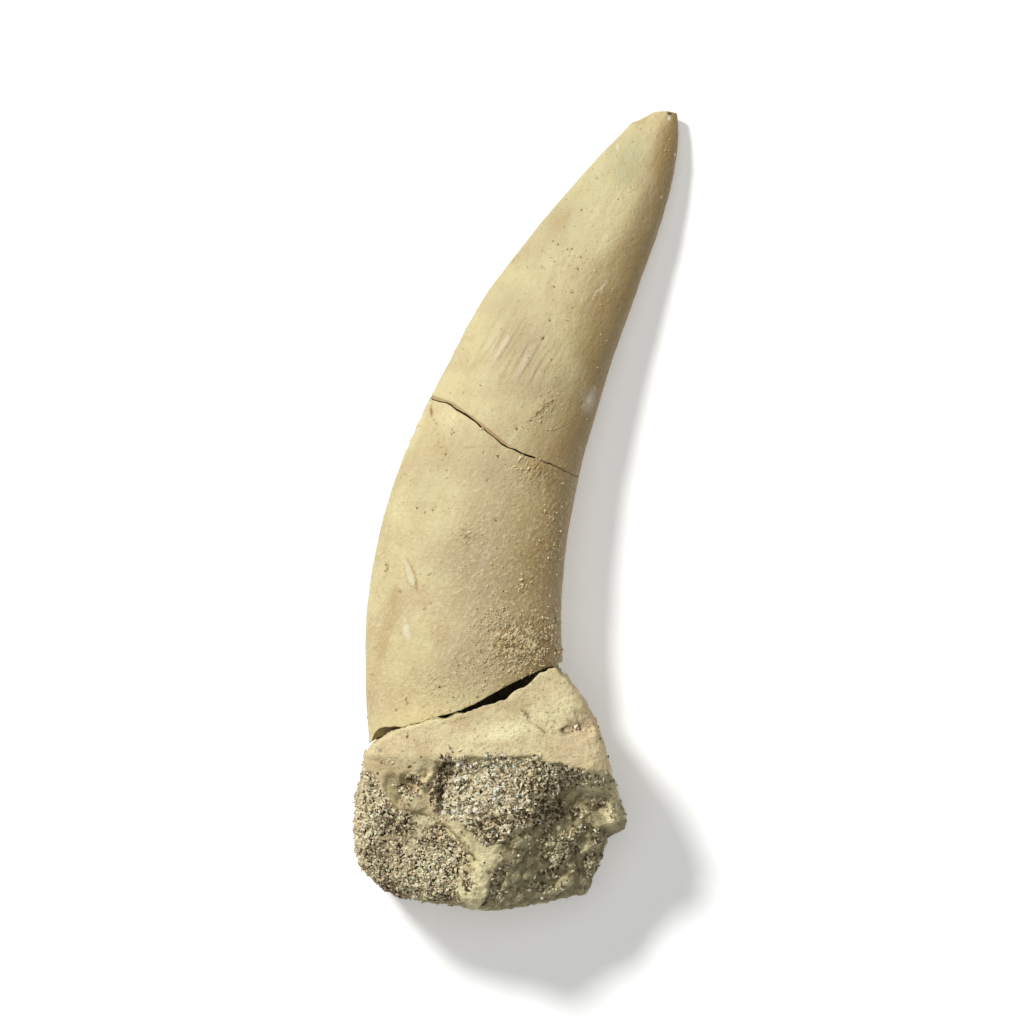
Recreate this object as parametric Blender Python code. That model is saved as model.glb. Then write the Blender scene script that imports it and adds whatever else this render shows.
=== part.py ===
"""Fossil fish tooth, lying on its side: a curved crown in two fragments, on its piece of jaw bone.

The model is in metres, +Z up.  +Y runs from the bone towards the tip, +X to the hollow side of the
curve, and the surface that it lies on is z = 0.  The origin is below the middle of the whole.
Lengths below are in millimetres, and MM turns them to metres.
"""
import math

import bmesh
import bpy
import numpy as np

MM = 0.001

# Crown: left edge x, y, right edge x, y and half thickness of each section, from jaw to tip.
CROWN_SECTIONS = [
    (-10.80, -19.90, 4.20, -19.15, 4.40),
    (-11.18, -13.55, 3.75, -13.55, 4.35),
    (-11.10, -7.55, 3.49, -8.45, 4.25),
    (-10.13, -1.55, 3.79, -3.25, 4.05),
    (-8.03, 4.90, 4.73, 2.20, 3.75),
    (-5.40, 10.30, 5.78, 6.20, 3.35),
    (-2.48, 15.70, 7.54, 11.80, 2.95),
    (0.49, 19.75, 9.04, 16.00, 2.50),
    (3.83, 23.80, 10.65, 20.60, 2.05),
    (6.23, 26.50, 11.63, 23.80, 1.65),
    (8.03, 28.30, 12.15, 26.35, 1.30),
    (8.93, 29.25, 12.30, 28.10, 1.02),
    (9.98, 29.74, 12.30, 29.06, 0.78),
    (10.73, 29.97, 12.08, 29.78, 0.45),
]
CROWN_TIP = (11.48, 30.04)
CROWN_KEEL = 0.55           # 0 gives an oval section, 1 a knife edge on the left
CROWN_AXIS_Z = (6.40, 1.22)  # height of the crown's middle at its jaw end and at its tip
CROWN_RINGS = 66
CROWN_SIDES = 26

# Breaks, as lines across the tooth from left to right.
CRACK = [(-8.5, 9.4), (-6.00, 8.20), (-4.88, 7.85), (-3.38, 6.85), (-2.25, 5.95), (-0.53, 4.60),
         (0.38, 4.25), (2.25, 3.55), (4.50, 2.55), (7.0, 1.5)]
CRACK_GAP = 0.40
SHAFT_BREAK = [(-13.0, -17.8), (-10.73, -17.35), (-10.35, -16.90), (-9.75, -16.40), (-9.00, -16.20),
               (-8.25, -16.10), (-5.63, -15.50), (-3.98, -15.00), (-2.63, -14.35), (1.13, -12.40),
               (3.75, -11.35), (6.0, -10.4)]
BONE_BREAK = [(-14.5, -19.6), (-11.33, -18.50), (-10.13, -17.50), (-9.00, -16.70), (-8.25, -16.50),
              (-6.38, -16.05), (-5.25, -15.75), (-3.75, -15.30), (-2.63, -14.80), (-1.13, -14.20),
              (0.00, -13.55), (0.75, -13.00), (1.88, -12.50), (3.00, -12.05), (4.60, -11.30)]

# Pulp cavity: the hollow in the broken lower end of the crown.
CAVITY_AT = (-3.60, -14.60, 6.10)
CAVITY_HALF = (5.30, 6.20, 1.85)
CAVITY_TURN = math.radians(24)
CAVITY_ROWS = 12

# Base: its outline seen from above, and the height of the level that its surfaces count from.
BASE_MIDDLE = (-2.0, -22.3)
BASE_Z = 6.40
BASE_OUTLINE = [
    (-11.33, -18.50), (-11.60, -19.55), (-11.95, -20.65), (-12.37, -21.50), (-12.10, -22.30),
    (-12.35, -23.90), (-12.20, -25.40), (-11.75, -26.60), (-11.00, -27.80), (-9.95, -28.75),
    (-8.60, -29.30), (-5.60, -29.65), (-2.60, -29.98), (-1.27, -30.06), (1.60, -29.66),
    (3.40, -29.30), (5.33, -28.85), (5.80, -28.20), (6.00, -27.25), (6.40, -26.35), (6.85, -25.25),
    (7.08, -24.62), (8.32, -23.90), (8.47, -23.35), (7.95, -21.80), (7.35, -20.15), (7.05, -18.55),
    (6.60, -17.15), (6.15, -15.80), (5.33, -14.30), (4.20, -12.80), (3.45, -11.10), (1.0, -9.6),
    (-4.0, -10.2), (-9.0, -12.0), (-11.4, -15.6),
]
OUTLINE_STEP = 0.9
BASE_ROWS = 30
DOME_POWER = 4.0            # 2 gives a round dome, more gives a flatter top and steeper sides

# The upper side is the highest of four lumps.  Each lump is the lowest of its faces, and each
# face is a place on it x, y, its height there, the way it falls in degrees from +X, and its slope.
TOP_LUMPS = {
    "collar": [(-3.0, -15.0, 4.80, 90, 0.50), (0.0, -17.5, 6.30, 0, 0.0),
               (-8.6, -17.6, 5.90, 175, 0.42), (4.4, -17.0, 5.95, 5, 0.33),
               (1.5, -19.3, 5.90, -94, 1.70)],
    "lobe": [(-8.0, -20.5, 5.35, 205, 0.25), (-6.5, -20.5, 5.20, 0, 1.60),
             (-7.6, -22.2, 5.00, -75, 0.80), (-8.0, -18.6, 5.60, 90, 0.90)],
    "body": [(-2.0, -21.0, 5.75, 0, 0.0), (-5.0, -24.5, 5.10, 222, 0.27),
             (0.6, -23.3, 5.20, -47, 0.80), (-2.0, -26.5, 4.95, -38, 0.72),
             (-6.0, -28.4, 3.90, -95, 0.90)],
    "spur": [(7.0, -22.6, 3.00, 150, 0.60), (7.5, -23.3, 2.70, -70, 0.90),
             (7.8, -22.4, 2.90, 15, 0.80), (7.0, -21.5, 2.90, 80, 0.80)],
}
# The underside, measured downwards.  What would pass the ground plane is cut off flat.
UNDER_LUMPS = {
    "belly": [(-2.0, -21.0, 7.30, 0, 0.0), (-3.0, -14.5, 4.50, 90, 0.55),
              (-9.0, -22.0, 6.00, 180, 0.50), (4.5, -20.0, 5.80, 0, 0.60),
              (-2.0, -26.5, 6.30, -95, 0.55), (3.0, -25.5, 5.70, -42, 0.80)],
    "knuckle": [(2.5, -16.5, 6.10, 60, 0.60), (2.5, -16.5, 6.10, -60, 0.70),
                (2.5, -16.5, 6.10, 180, 0.50)],
}
CREASE_SHARPNESS = 3.2      # how sharply two faces meet

# Hollows of the upper side: x, y, half length, half width, turn in degrees and depth.
HOLLOWS = [
    (-9.35, -20.60, 1.0, 0.75, 100, 0.75),   # smooth hollow in the left lobe
    (-7.70, -20.75, 1.3, 0.95, 120, 0.95),   # hole beside it, filled with sand
    (-5.95, -20.10, 1.6, 0.55, 75, 1.20),    # crevice between the lobe and the middle sand
    (4.00, -22.50, 1.8, 1.2, 80, 0.60),      # recess under the collar's right end
    (-0.40, -28.20, 0.7, 0.5, 0, 0.45),      # crater in the lower facet
    (2.60, -27.60, 1.4, 0.9, 20, 0.55),
    (5.20, -16.00, 1.2, 0.6, -60, 0.35),     # pitted place on the collar's right end
]
SAND_LUMP = 0.22            # height of the lumps of the sandy parts

# Sand: the lower left mass and the patch in the middle.
FOOT_EDGE = [(-14.5, -18.1), (-11.18, -19.20), (-10.35, -20.80), (-9.53, -21.70), (-8.48, -22.45),
             (-6.83, -22.70), (-5.63, -23.60), (-4.50, -24.65), (-3.68, -25.75), (-3.38, -26.50),
             (-3.98, -27.65), (-4.05, -28.55), (-3.53, -29.65), (-3.20, -31.5)]
PATCH_OUTLINE = [
    (-5.55, -18.75), (-6.10, -20.20), (-6.40, -21.80), (-5.50, -22.60), (-4.50, -23.10),
    (-3.55, -23.50), (-2.95, -24.35), (-2.15, -24.85), (-1.20, -24.55), (0.30, -23.95),
    (1.60, -23.45), (2.60, -22.75), (3.20, -21.20), (3.35, -19.55), (2.20, -18.60),
    (0.40, -19.15), (-1.10, -18.65), (-2.60, -18.40), (-4.10, -18.60),
]
PATCH_RISE = 0.45
PATCH_DEPTH = 1.30
PATCH_ROWS = 12
PATCH_STEP = 0.95
GAP = 0.32                  # clear space between pieces that touch
FAR = 45.0                  # reach of the cutters past the object
WELD = 0.01                 # points of a cutter closer than this are one

SHARP_ANGLE = math.radians(38)
FINISHES = {
    "tooth_tip": ((0.62, 0.54, 0.34), 0.42),
    "tooth_shaft": ((0.58, 0.50, 0.32), 0.46),
    "jaw_bone": ((0.52, 0.46, 0.31), 0.62),
    "sand_foot": ((0.36, 0.31, 0.22), 0.90),
    "sand_patch": ((0.31, 0.27, 0.18), 0.92),
}


def clear_scene():
    """Remove every object, so that the script can be run again in the same file."""
    for thing in list(bpy.data.objects):
        bpy.data.objects.remove(thing, do_unlink=True)


def new_collection(name):
    """A collection of this name, linked to the scene."""
    found = bpy.data.collections.get(name) or bpy.data.collections.new(name)
    if found.name not in bpy.context.scene.collection.children:
        bpy.context.scene.collection.children.link(found)
    return found


def finish_for(name):
    """The piece's own Principled material, with its colour and roughness."""
    colour, roughness = FINISHES[name]
    material = bpy.data.materials.new(name + "_finish")
    material.use_nodes = True
    shader = material.node_tree.nodes["Principled BSDF"]
    shader.inputs["Base Color"].default_value = (*colour, 1.0)
    shader.inputs["Roughness"].default_value = roughness
    shader.inputs["Metallic"].default_value = 0.0
    return material


def object_from(bm, name, collection):
    """Close the bmesh into a new object, with its faces pointing out."""
    bmesh.ops.recalc_face_normals(bm, faces=bm.faces)
    if bm.calc_volume(signed=True) < 0:
        bmesh.ops.reverse_faces(bm, faces=bm.faces)
    mesh = bpy.data.meshes.new(name)
    bm.to_mesh(mesh)
    bm.free()
    made = bpy.data.objects.new(name, mesh)
    collection.objects.link(made)
    return made


def as_piece(piece):
    """Give a finished piece its material and its smooth shading."""
    piece.data.materials.append(finish_for(piece.name))
    piece.data.shade_smooth()
    piece.data.set_sharp_from_angle(angle=SHARP_ANGLE)


def as_cutter(cutter):
    """Mark an object as a guide that is not part of the model."""
    cutter.hide_render = True
    cutter.display_type = "WIRE"
    return cutter


def boolean(piece, cutter, operation="DIFFERENCE"):
    """Cut the piece with the cutter, or keep what they share."""
    modifier = piece.modifiers.new(operation.lower() + "_" + cutter.name, "BOOLEAN")
    modifier.operation = operation
    modifier.object = cutter
    modifier.solver = "EXACT"


def through(rows, place):
    """Smooth curve through the rows: place 0 is the first row and 1 the last."""
    rows = np.asarray(rows, dtype=float)
    last = len(rows) - 1
    spot = np.clip(place, 0.0, 1.0) * last
    low = np.minimum(spot.astype(int), last - 1)
    part = (spot - low)[:, None]
    before, start = rows[np.maximum(low - 1, 0)], rows[low]
    end, after = rows[low + 1], rows[np.minimum(low + 2, last)]
    bend = 2 * before - 5 * start + 4 * end - after + part * (3 * (start - end) + after - before)
    return start + 0.5 * part * (end - before + part * bend)


def crown_rings():
    """Rings of the crown: teardrop sections, keeled on the left and round on the right."""
    rows = through(CROWN_SECTIONS, np.linspace(0.0, 1.0, CROWN_RINGS))
    turn = np.linspace(0.0, 2 * math.pi, CROWN_SIDES, endpoint=False)
    crest = math.acos(-CROWN_KEEL / (2 + CROWN_KEEL))
    peak = math.sin(crest) * math.sin(crest / 2) ** CROWN_KEEL
    across = (1 - np.cos(turn)) / 2
    rise = np.sin(turn) * np.abs(np.sin(turn / 2)) ** CROWN_KEEL / peak
    left, right, thick = rows[:, None, 0:2], rows[:, None, 2:4], rows[:, 4:5]
    flat = left + (right - left) * across[None, :, None]
    middle_y = (rows[:, 1:2] + rows[:, 3:4]) / 2
    start_y, end_y = middle_y[0, 0], CROWN_TIP[1]
    axis_z = np.interp(middle_y, [start_y, end_y], CROWN_AXIS_Z)
    return np.dstack([flat, axis_z + thick * rise[None, :]])


def make_crown(name, collection):
    """The whole crown, lofted between its sections and closed at both ends."""
    bm = bmesh.new()
    rings = [[bm.verts.new(point * MM) for point in ring] for ring in crown_rings()]
    for near, far in zip(rings, rings[1:]):
        for side in range(CROWN_SIDES):
            after = (side + 1) % CROWN_SIDES
            bm.faces.new((near[side], near[after], far[after], far[side]))
    bm.faces.new(rings[0])
    tip = bm.verts.new(np.array((*CROWN_TIP, CROWN_AXIS_Z[1])) * MM)
    for side in range(CROWN_SIDES):
        bm.faces.new((rings[-1][side], rings[-1][(side + 1) % CROWN_SIDES], tip))
    return object_from(bm, name, collection)


def make_prism(name, outline, collection):
    """A flat outline drawn out along Z, far past the model on both sides."""
    curve = bpy.data.curves.new(name, "CURVE")
    curve.dimensions = "2D"
    curve.fill_mode = "BOTH"
    curve.extrude = FAR * MM / 2
    spline = curve.splines.new("POLY")
    spline.points.add(len(outline) - 1)
    for point, (x, y) in zip(spline.points, outline):
        point.co = (x * MM, y * MM, 0.0, 1.0)
    spline.use_cyclic_u = True
    drawn = bpy.data.objects.new(name + "_outline", curve)
    collection.objects.link(drawn)
    bpy.context.view_layer.update()
    solid = drawn.evaluated_get(bpy.context.evaluated_depsgraph_get())
    mesh = bpy.data.meshes.new_from_object(solid)
    placed = drawn.matrix_world.copy()
    bpy.data.objects.remove(drawn, do_unlink=True)
    bm = bmesh.new()
    bm.from_mesh(mesh)
    bmesh.ops.remove_doubles(bm, verts=bm.verts, dist=WELD * MM)
    cutter = object_from(bm, name, collection)
    cutter.matrix_world = placed
    return as_cutter(cutter)


def half_plane(line, shift, side):
    """Outline of all that lies past a line from left to right: side 1 is above it, -1 below."""
    edge = [(x, y + shift) for x, y in line]
    return edge + [(FAR, side * FAR), (-FAR, side * FAR)]


def foot_outline(shift):
    """Outline of all that lies below and left of the sand's edge, moved by shift down and left."""
    edge = [(x - shift, y - shift) for x, y in FOOT_EDGE]
    return edge + [(FOOT_EDGE[-1][0], -FAR), (-FAR, -FAR), (-FAR, FOOT_EDGE[0][1])]


def make_cavity(collection):
    """The pulp cavity: a flat egg, its long way up the crown and its mouth along the break."""
    bm = bmesh.new()
    bmesh.ops.create_uvsphere(bm, u_segments=2 * CAVITY_ROWS, v_segments=CAVITY_ROWS, radius=1.0)
    for vert in bm.verts:
        vert.co = [size * MM * part for size, part in zip(CAVITY_HALF, vert.co)]
    cutter = object_from(bm, "pulp_cavity", collection)
    cutter.location = [MM * part for part in CAVITY_AT]
    cutter.rotation_euler = (0.0, 0.0, CAVITY_TURN)
    return as_cutter(cutter)


def ring_along(outline, step):
    """Points along a closed outline, which keep its corners and lie about one step apart."""
    points = []
    for start, end in zip(outline, outline[1:] + outline[:1]):
        start, end = np.array(start), np.array(end)
        parts = max(1, round(float(np.linalg.norm(end - start)) / step))
        points += [start + (end - start) * part / parts for part in range(parts)]
    return np.array(points)


def lump_height(x, y, faces):
    """Height of a lump at each place: the lowest of its faces, with the creases eased."""
    below = 0.0
    for at_x, at_y, height, falls, slope in faces:
        falls = math.radians(falls)
        along = (x - at_x) * math.cos(falls) + (y - at_y) * math.sin(falls)
        below = below + np.exp(CREASE_SHARPNESS * (slope * along - height))
    return -np.log(below) / CREASE_SHARPNESS


def highest(x, y, lumps):
    """Height of the highest lump at each place, with the creases eased."""
    above = sum(np.exp(CREASE_SHARPNESS * lump_height(x, y, faces)) for faces in lumps.values())
    return np.log(above) / CREASE_SHARPNESS


def hollow_depth(x, y):
    """How far the hollows of the upper side lower it at each place."""
    depth = 0.0
    for at_x, at_y, long, wide, turn, deep in HOLLOWS:
        turn = math.radians(turn)
        along = (x - at_x) * math.cos(turn) + (y - at_y) * math.sin(turn)
        aside = (y - at_y) * math.cos(turn) - (x - at_x) * math.sin(turn)
        depth = depth + deep * np.exp(-(along / long) ** 2 - (aside / wide) ** 2)
    return depth


def sand_lumps(x, y, z):
    """Uneven lumps, about 2 to 4 mm across, between -1 and 1."""
    broad = np.sin(1.9 * x + 0.7 * y + 1.1 * z) * np.sin(1.7 * y - 0.9 * x + 2.0)
    fine = np.sin(3.7 * x - 2.1 * z + 0.4) * np.sin(3.3 * y + 1.3 * x + 1.4 * z)
    return 0.6 * broad + 0.4 * fine


def base_top(x, y):
    """Height of the base's upper side at each place."""
    return BASE_Z + highest(x, y, TOP_LUMPS) - hollow_depth(x, y)


def base_under(x, y):
    """Height of the base's underside at each place, before the ground cuts it."""
    return BASE_Z - highest(x, y, UNDER_LUMPS)


def shell_mesh(outline, middle, step, rows, top, under):
    """A sphere whose meridians meet an outline seen from above, drawn to the heights top and under.

    The rim runs midway between the two, and the dome takes the surfaces to it.
    """
    ring = ring_along(outline, step)
    bm = bmesh.new()
    bmesh.ops.create_uvsphere(bm, u_segments=len(ring), v_segments=rows, radius=1.0)
    ball = np.array([vert.co for vert in bm.verts])
    meridian = np.rint(np.arctan2(ball[:, 1], ball[:, 0]) / (2 * math.pi) * len(ring)).astype(int)
    rim = ring[meridian % len(ring)]
    out = np.cos(np.arcsin(np.clip(ball[:, 2], -1.0, 1.0)))
    dome = np.clip(1 - out ** DOME_POWER, 0.0, 1.0) ** (1 / DOME_POWER)
    x, y = (np.array(middle) + out[:, None] * (rim - middle)).T
    rim_z = (top(*rim.T) + under(*rim.T)) / 2
    z = rim_z + dome * (np.where(ball[:, 2] >= 0, top(x, y), under(x, y)) - rim_z)
    for vert, place in zip(bm.verts, np.column_stack([x, y, z]) * MM):
        vert.co = place
    return bm


def make_base(name, collection, lump=0.0):
    """The base, before its breaks are cut, with sandy lumps where asked."""
    def top(x, y):
        return base_top(x, y) + lump * sand_lumps(x, y, BASE_Z)

    def under(x, y):
        return base_under(x, y) - lump * sand_lumps(x, y, 0.0)
    return object_from(shell_mesh(BASE_OUTLINE, BASE_MIDDLE, OUTLINE_STEP, BASE_ROWS, top, under),
                       name, collection)


def make_patch(name, collection, grow=0.0):
    """The middle sand: a low lumpy mound above the bone and a shallow bowl below it."""
    outline = np.array(PATCH_OUTLINE)
    middle = outline.mean(axis=0)
    away = outline - middle
    grown = outline + grow * away / np.linalg.norm(away, axis=1)[:, None]

    def top(x, y):
        return base_top(x, y) + PATCH_RISE + grow + SAND_LUMP * sand_lumps(x, y, BASE_Z)

    def under(x, y):
        return base_top(x, y) - PATCH_DEPTH - grow
    return object_from(shell_mesh([tuple(point) for point in grown], middle, PATCH_STEP, PATCH_ROWS,
                                  top, under), name, collection)


def make_ground(collection):
    """A block below z = 0, which cuts the base's rest face flat."""
    bm = bmesh.new()
    bmesh.ops.create_cube(bm, size=FAR * MM)
    cutter = object_from(bm, "ground", collection)
    cutter.location = (BASE_MIDDLE[0] * MM, BASE_MIDDLE[1] * MM, -FAR * MM / 2)
    return as_cutter(cutter)


def build_crown(pieces, cutters):
    """The crown's two fragments, parted along the crack, the lower one hollow at its break."""
    below_crack = make_prism("below_crack", half_plane(CRACK, CRACK_GAP / 2, -1), cutters)
    above_crack = make_prism("above_crack", half_plane(CRACK, -CRACK_GAP / 2, 1), cutters)
    below_shaft = make_prism("below_shaft", half_plane(SHAFT_BREAK, 0.0, -1), cutters)
    tip = make_crown("tooth_tip", pieces)
    boolean(tip, below_crack)
    shaft = make_crown("tooth_shaft", pieces)
    for cutter in (above_crack, below_shaft, make_cavity(cutters)):
        boolean(shaft, cutter)
    return tip, shaft


def build_base(pieces, cutters):
    """The jaw bone and the two masses of sand that are stuck to it."""
    above_bone = make_prism("above_bone", half_plane(BONE_BREAK, 0.0, 1), cutters)
    foot_room = make_prism("foot_room", foot_outline(0.0), cutters)
    foot_body = make_prism("foot_body", foot_outline(GAP), cutters)
    patch_room = as_cutter(make_patch("patch_room", cutters, GAP))
    ground = make_ground(cutters)
    bone = make_base("jaw_bone", pieces)
    for cutter in (above_bone, foot_room, patch_room, ground):
        boolean(bone, cutter)
    foot = make_base("sand_foot", pieces, SAND_LUMP)
    boolean(foot, foot_body, "INTERSECT")
    boolean(foot, ground)
    patch = make_patch("sand_patch", pieces)
    return bone, foot, patch


def main():
    """Build the tooth."""
    clear_scene()
    pieces = new_collection("fossil_fish_tooth")
    cutters = new_collection("cutters")
    for piece in (*build_crown(pieces, cutters), *build_base(pieces, cutters)):
        as_piece(piece)


main()
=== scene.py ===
"""Looks of a fossil fish tooth: a cracked crown on a piece of jaw bone with sand stuck to it.

Every surface is worked out with numpy, in millimetres, and MM turns them to metres.  The frame is
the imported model's: +Y from the bone to the tip, +X to the hollow side of the curve, +Z up from the
floor that the tooth lies on.
"""

import itertools
import math

import bpy
import numpy as np
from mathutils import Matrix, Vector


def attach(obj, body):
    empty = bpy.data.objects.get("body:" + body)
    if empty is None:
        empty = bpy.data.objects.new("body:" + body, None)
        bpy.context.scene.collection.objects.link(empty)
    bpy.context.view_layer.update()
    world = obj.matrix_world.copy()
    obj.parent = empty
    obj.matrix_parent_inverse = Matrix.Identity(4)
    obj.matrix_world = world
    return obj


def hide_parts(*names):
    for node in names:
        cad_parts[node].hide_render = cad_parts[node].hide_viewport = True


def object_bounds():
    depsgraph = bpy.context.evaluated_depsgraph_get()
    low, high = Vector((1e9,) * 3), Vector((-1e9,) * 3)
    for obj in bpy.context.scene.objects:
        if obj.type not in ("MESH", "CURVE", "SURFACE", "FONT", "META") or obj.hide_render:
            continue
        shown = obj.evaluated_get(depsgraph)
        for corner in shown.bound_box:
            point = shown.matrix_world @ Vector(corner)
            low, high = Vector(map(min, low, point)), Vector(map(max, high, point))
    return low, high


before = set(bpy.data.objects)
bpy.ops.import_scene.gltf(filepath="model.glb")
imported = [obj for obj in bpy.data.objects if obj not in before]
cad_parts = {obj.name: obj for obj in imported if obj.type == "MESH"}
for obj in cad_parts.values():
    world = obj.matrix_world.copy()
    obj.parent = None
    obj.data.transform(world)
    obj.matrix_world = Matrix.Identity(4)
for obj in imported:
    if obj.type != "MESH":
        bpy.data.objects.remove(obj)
CAD_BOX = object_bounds()

bl_info = {
    "name": "Fossil fish tooth",
    "version": (1, 0, 0),
    "blender": (4, 5, 0),
    "location": "View3D > Sidebar > Fossil",
    "description": "Builds the surfaces, sand grains and finishes of a fossil fish tooth",
    "category": "Add Mesh",
}

MM = 0.001
BODY = "root"

# The photograph: its width in pixels, a pixel's size on the tooth, and the pixel at x = 0, y = 0.
PHOTO_WIDTH = 1024
PIXEL = 0.075
PHOTO_ZERO = (515.0, 509.5)

# Crown: left edge x, y, right edge x, y and half thickness of each section, from jaw to tip.
CROWN_SECTIONS = np.array([
    (-10.80, -19.90, 4.20, -19.15, 4.40),
    (-11.18, -13.55, 3.75, -13.55, 4.35),
    (-11.10, -7.55, 3.49, -8.45, 4.25),
    (-10.13, -1.55, 3.79, -3.25, 4.05),
    (-8.03, 4.90, 4.73, 2.20, 3.75),
    (-5.40, 10.30, 5.78, 6.20, 3.35),
    (-2.48, 15.70, 7.54, 11.80, 2.95),
    (0.49, 19.75, 9.04, 16.00, 2.50),
    (3.83, 23.80, 10.65, 20.60, 2.05),
    (6.23, 26.50, 11.63, 23.80, 1.65),
    (8.03, 28.30, 12.15, 26.35, 1.30),
    (8.93, 29.25, 12.30, 28.10, 1.02),
    (9.98, 29.74, 12.30, 29.06, 0.78),
    (10.50, 30.00, 12.22, 29.84, 0.52),
])
CROWN_TIP = (11.48, 30.04)
CROWN_KEEL = 0.55           # 0 gives an oval section, 1 a knife edge on the left
CROWN_BLUNT = 0.02          # rounds that edge off
CROWN_AXIS_Z = (6.40, 1.22)  # height of the crown's middle at its jaw end and at its tip
UPPER_TURNS, LOWER_TURNS = 176, 92      # points round the upper and the lower side
TIP_ROWS, SHAFT_ROWS = 300, 262         # rows along the skin of each fragment
TIP_CAP_ROWS, SHAFT_CAP_ROWS = 26, 20   # rows on its face in the crack
WALL_ROWS, CAVITY_ROWS = 14, 35         # rows on the shaft's broken wall and in its hollow
CAP_SHARES = (0.05, 0.985)  # innermost and outermost row of a broken face, as shares of the section

# Breaks, as lines across the tooth from left to right, and the open width of the crack.
CRACK = np.array([(-8.5, 9.4), (-6.00, 8.20), (-4.88, 7.85), (-3.38, 6.85), (-2.25, 5.95),
                  (-0.53, 4.60), (0.38, 4.25), (2.25, 3.55), (4.50, 2.55), (7.0, 1.5)])
CRACK_WIDTH = np.array([(-6.0, 0.11), (-3.4, 0.12), (-1.6, 0.11), (-0.5, 0.08), (0.6, 0.11),
                        (1.6, 0.07), (2.4, 0.08), (4.9, 0.07)])
SHAFT_BREAK = np.array([(-13.0, -17.9), (-10.73, -17.42), (-10.20, -17.17), (-9.00, -16.66),
                        (-8.40, -16.33), (-8.05, -16.15), (-5.63, -15.50), (-3.98, -15.00),
                        (-2.63, -14.33), (-1.20, -13.52), (0.60, -12.55), (1.25, -12.36),
                        (3.75, -11.35), (6.0, -10.4)])
ARCH = np.array([(-10.80, 0.0), (-10.55, 0.55), (-10.20, 0.76), (-9.70, 0.70), (-9.00, 0.36),
                 (-8.45, 0.05), (-8.30, 0.0)])     # notch in its upper wall: x and height
WALL_SHARE = 0.66           # inner edge of the broken wall, as a share of the section
CAVITY_DEPTH = 5.2          # how deep the hollow inside that wall is

# Chips of each fragment: x, y, half width, depth, and the mark and strength of the fresh face.
TIP_CHIPS = [
    (9.30, 29.65, 0.90, 0.14, "warm", 0.4), (11.65, 30.00, 0.24, 0.03, "dirt", 0.9),
    (0.05, 18.80, 0.35, 0.12, "rust", 0.2), (-3.75, 13.35, 0.42, 0.13, "pale", 0.15),
    (5.50, 8.45, 0.42, 0.07, "pale", 0.35), (6.05, 9.10, 0.30, 0.06, "pale", 0.5),
    (5.85, 7.45, 0.40, 0.08, "pale", 0.3), (5.05, 7.80, 0.28, 0.05, "pale", 0.3),
]
SHAFT_CHIPS = [
    (-5.20, 7.30, 1.15, 0.20, "pink", 0.6), (-6.50, 8.05, 0.40, 0.24, "pale", 0.3),
    (-7.15, 7.00, 0.50, 0.13, "pale", 0.3), (-7.65, 5.90, 0.56, 0.15, "pale", 0.35),
    (-8.10, 4.90, 0.45, 0.11, "pale", 0.3),
]

# The way the scratches run, from +X towards +Y.
SCRATCH_SLANT = math.radians(60)

# Flakes that stand off the crown: x, y, half width, half length, lean and height.
FLAKES = [(-7.88, -4.88, 0.36, 1.0, 0.30, 0.12), (-8.10, -8.80, 0.24, 0.5, 0.25, 0.04),
          (-8.30, -8.30, 0.12, 0.2, 0.0, 0.03)]

# Small pits of the crown: x, y and radius.
PITS = [
    (6.15, 24.94, 0.12), (5.03, 22.54, 0.14), (4.28, 19.54, 0.12), (4.95, 18.94, 0.12),
    (4.73, 18.04, 0.14), (3.23, 19.91, 0.12), (2.03, 18.19, 0.12), (2.93, 16.69, 0.13),
    (4.28, 16.31, 0.12), (2.10, 12.86, 0.17), (2.63, 14.21, 0.14), (2.33, 7.76, 0.20),
    (1.73, 7.24, 0.15), (1.20, 6.64, 0.16), (0.15, 6.04, 0.18), (3.15, 5.89, 0.12),
    (-4.73, 6.04, 0.16), (-4.62, 5.78, 0.12), (-5.18, 4.16, 0.13), (-5.10, 2.89, 0.12),
    (-2.10, 2.21, 0.12), (-7.35, 0.11, 0.14), (-6.15, -0.04, 0.15), (-1.43, -0.86, 0.15),
    (-9.68, -4.16, 0.18), (-9.55, -4.45, 0.14), (-8.63, -6.19, 0.15), (-6.30, -7.01, 0.13),
    (3.08, -8.44, 0.14), (3.05, -8.10, 0.12), (3.08, -10.61, 0.12), (-5.63, -13.31, 0.18),
    (-4.58, -14.06, 0.15), (-8.93, -15.04, 0.20), (-2.25, -12.79, 0.16),
]

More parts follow.
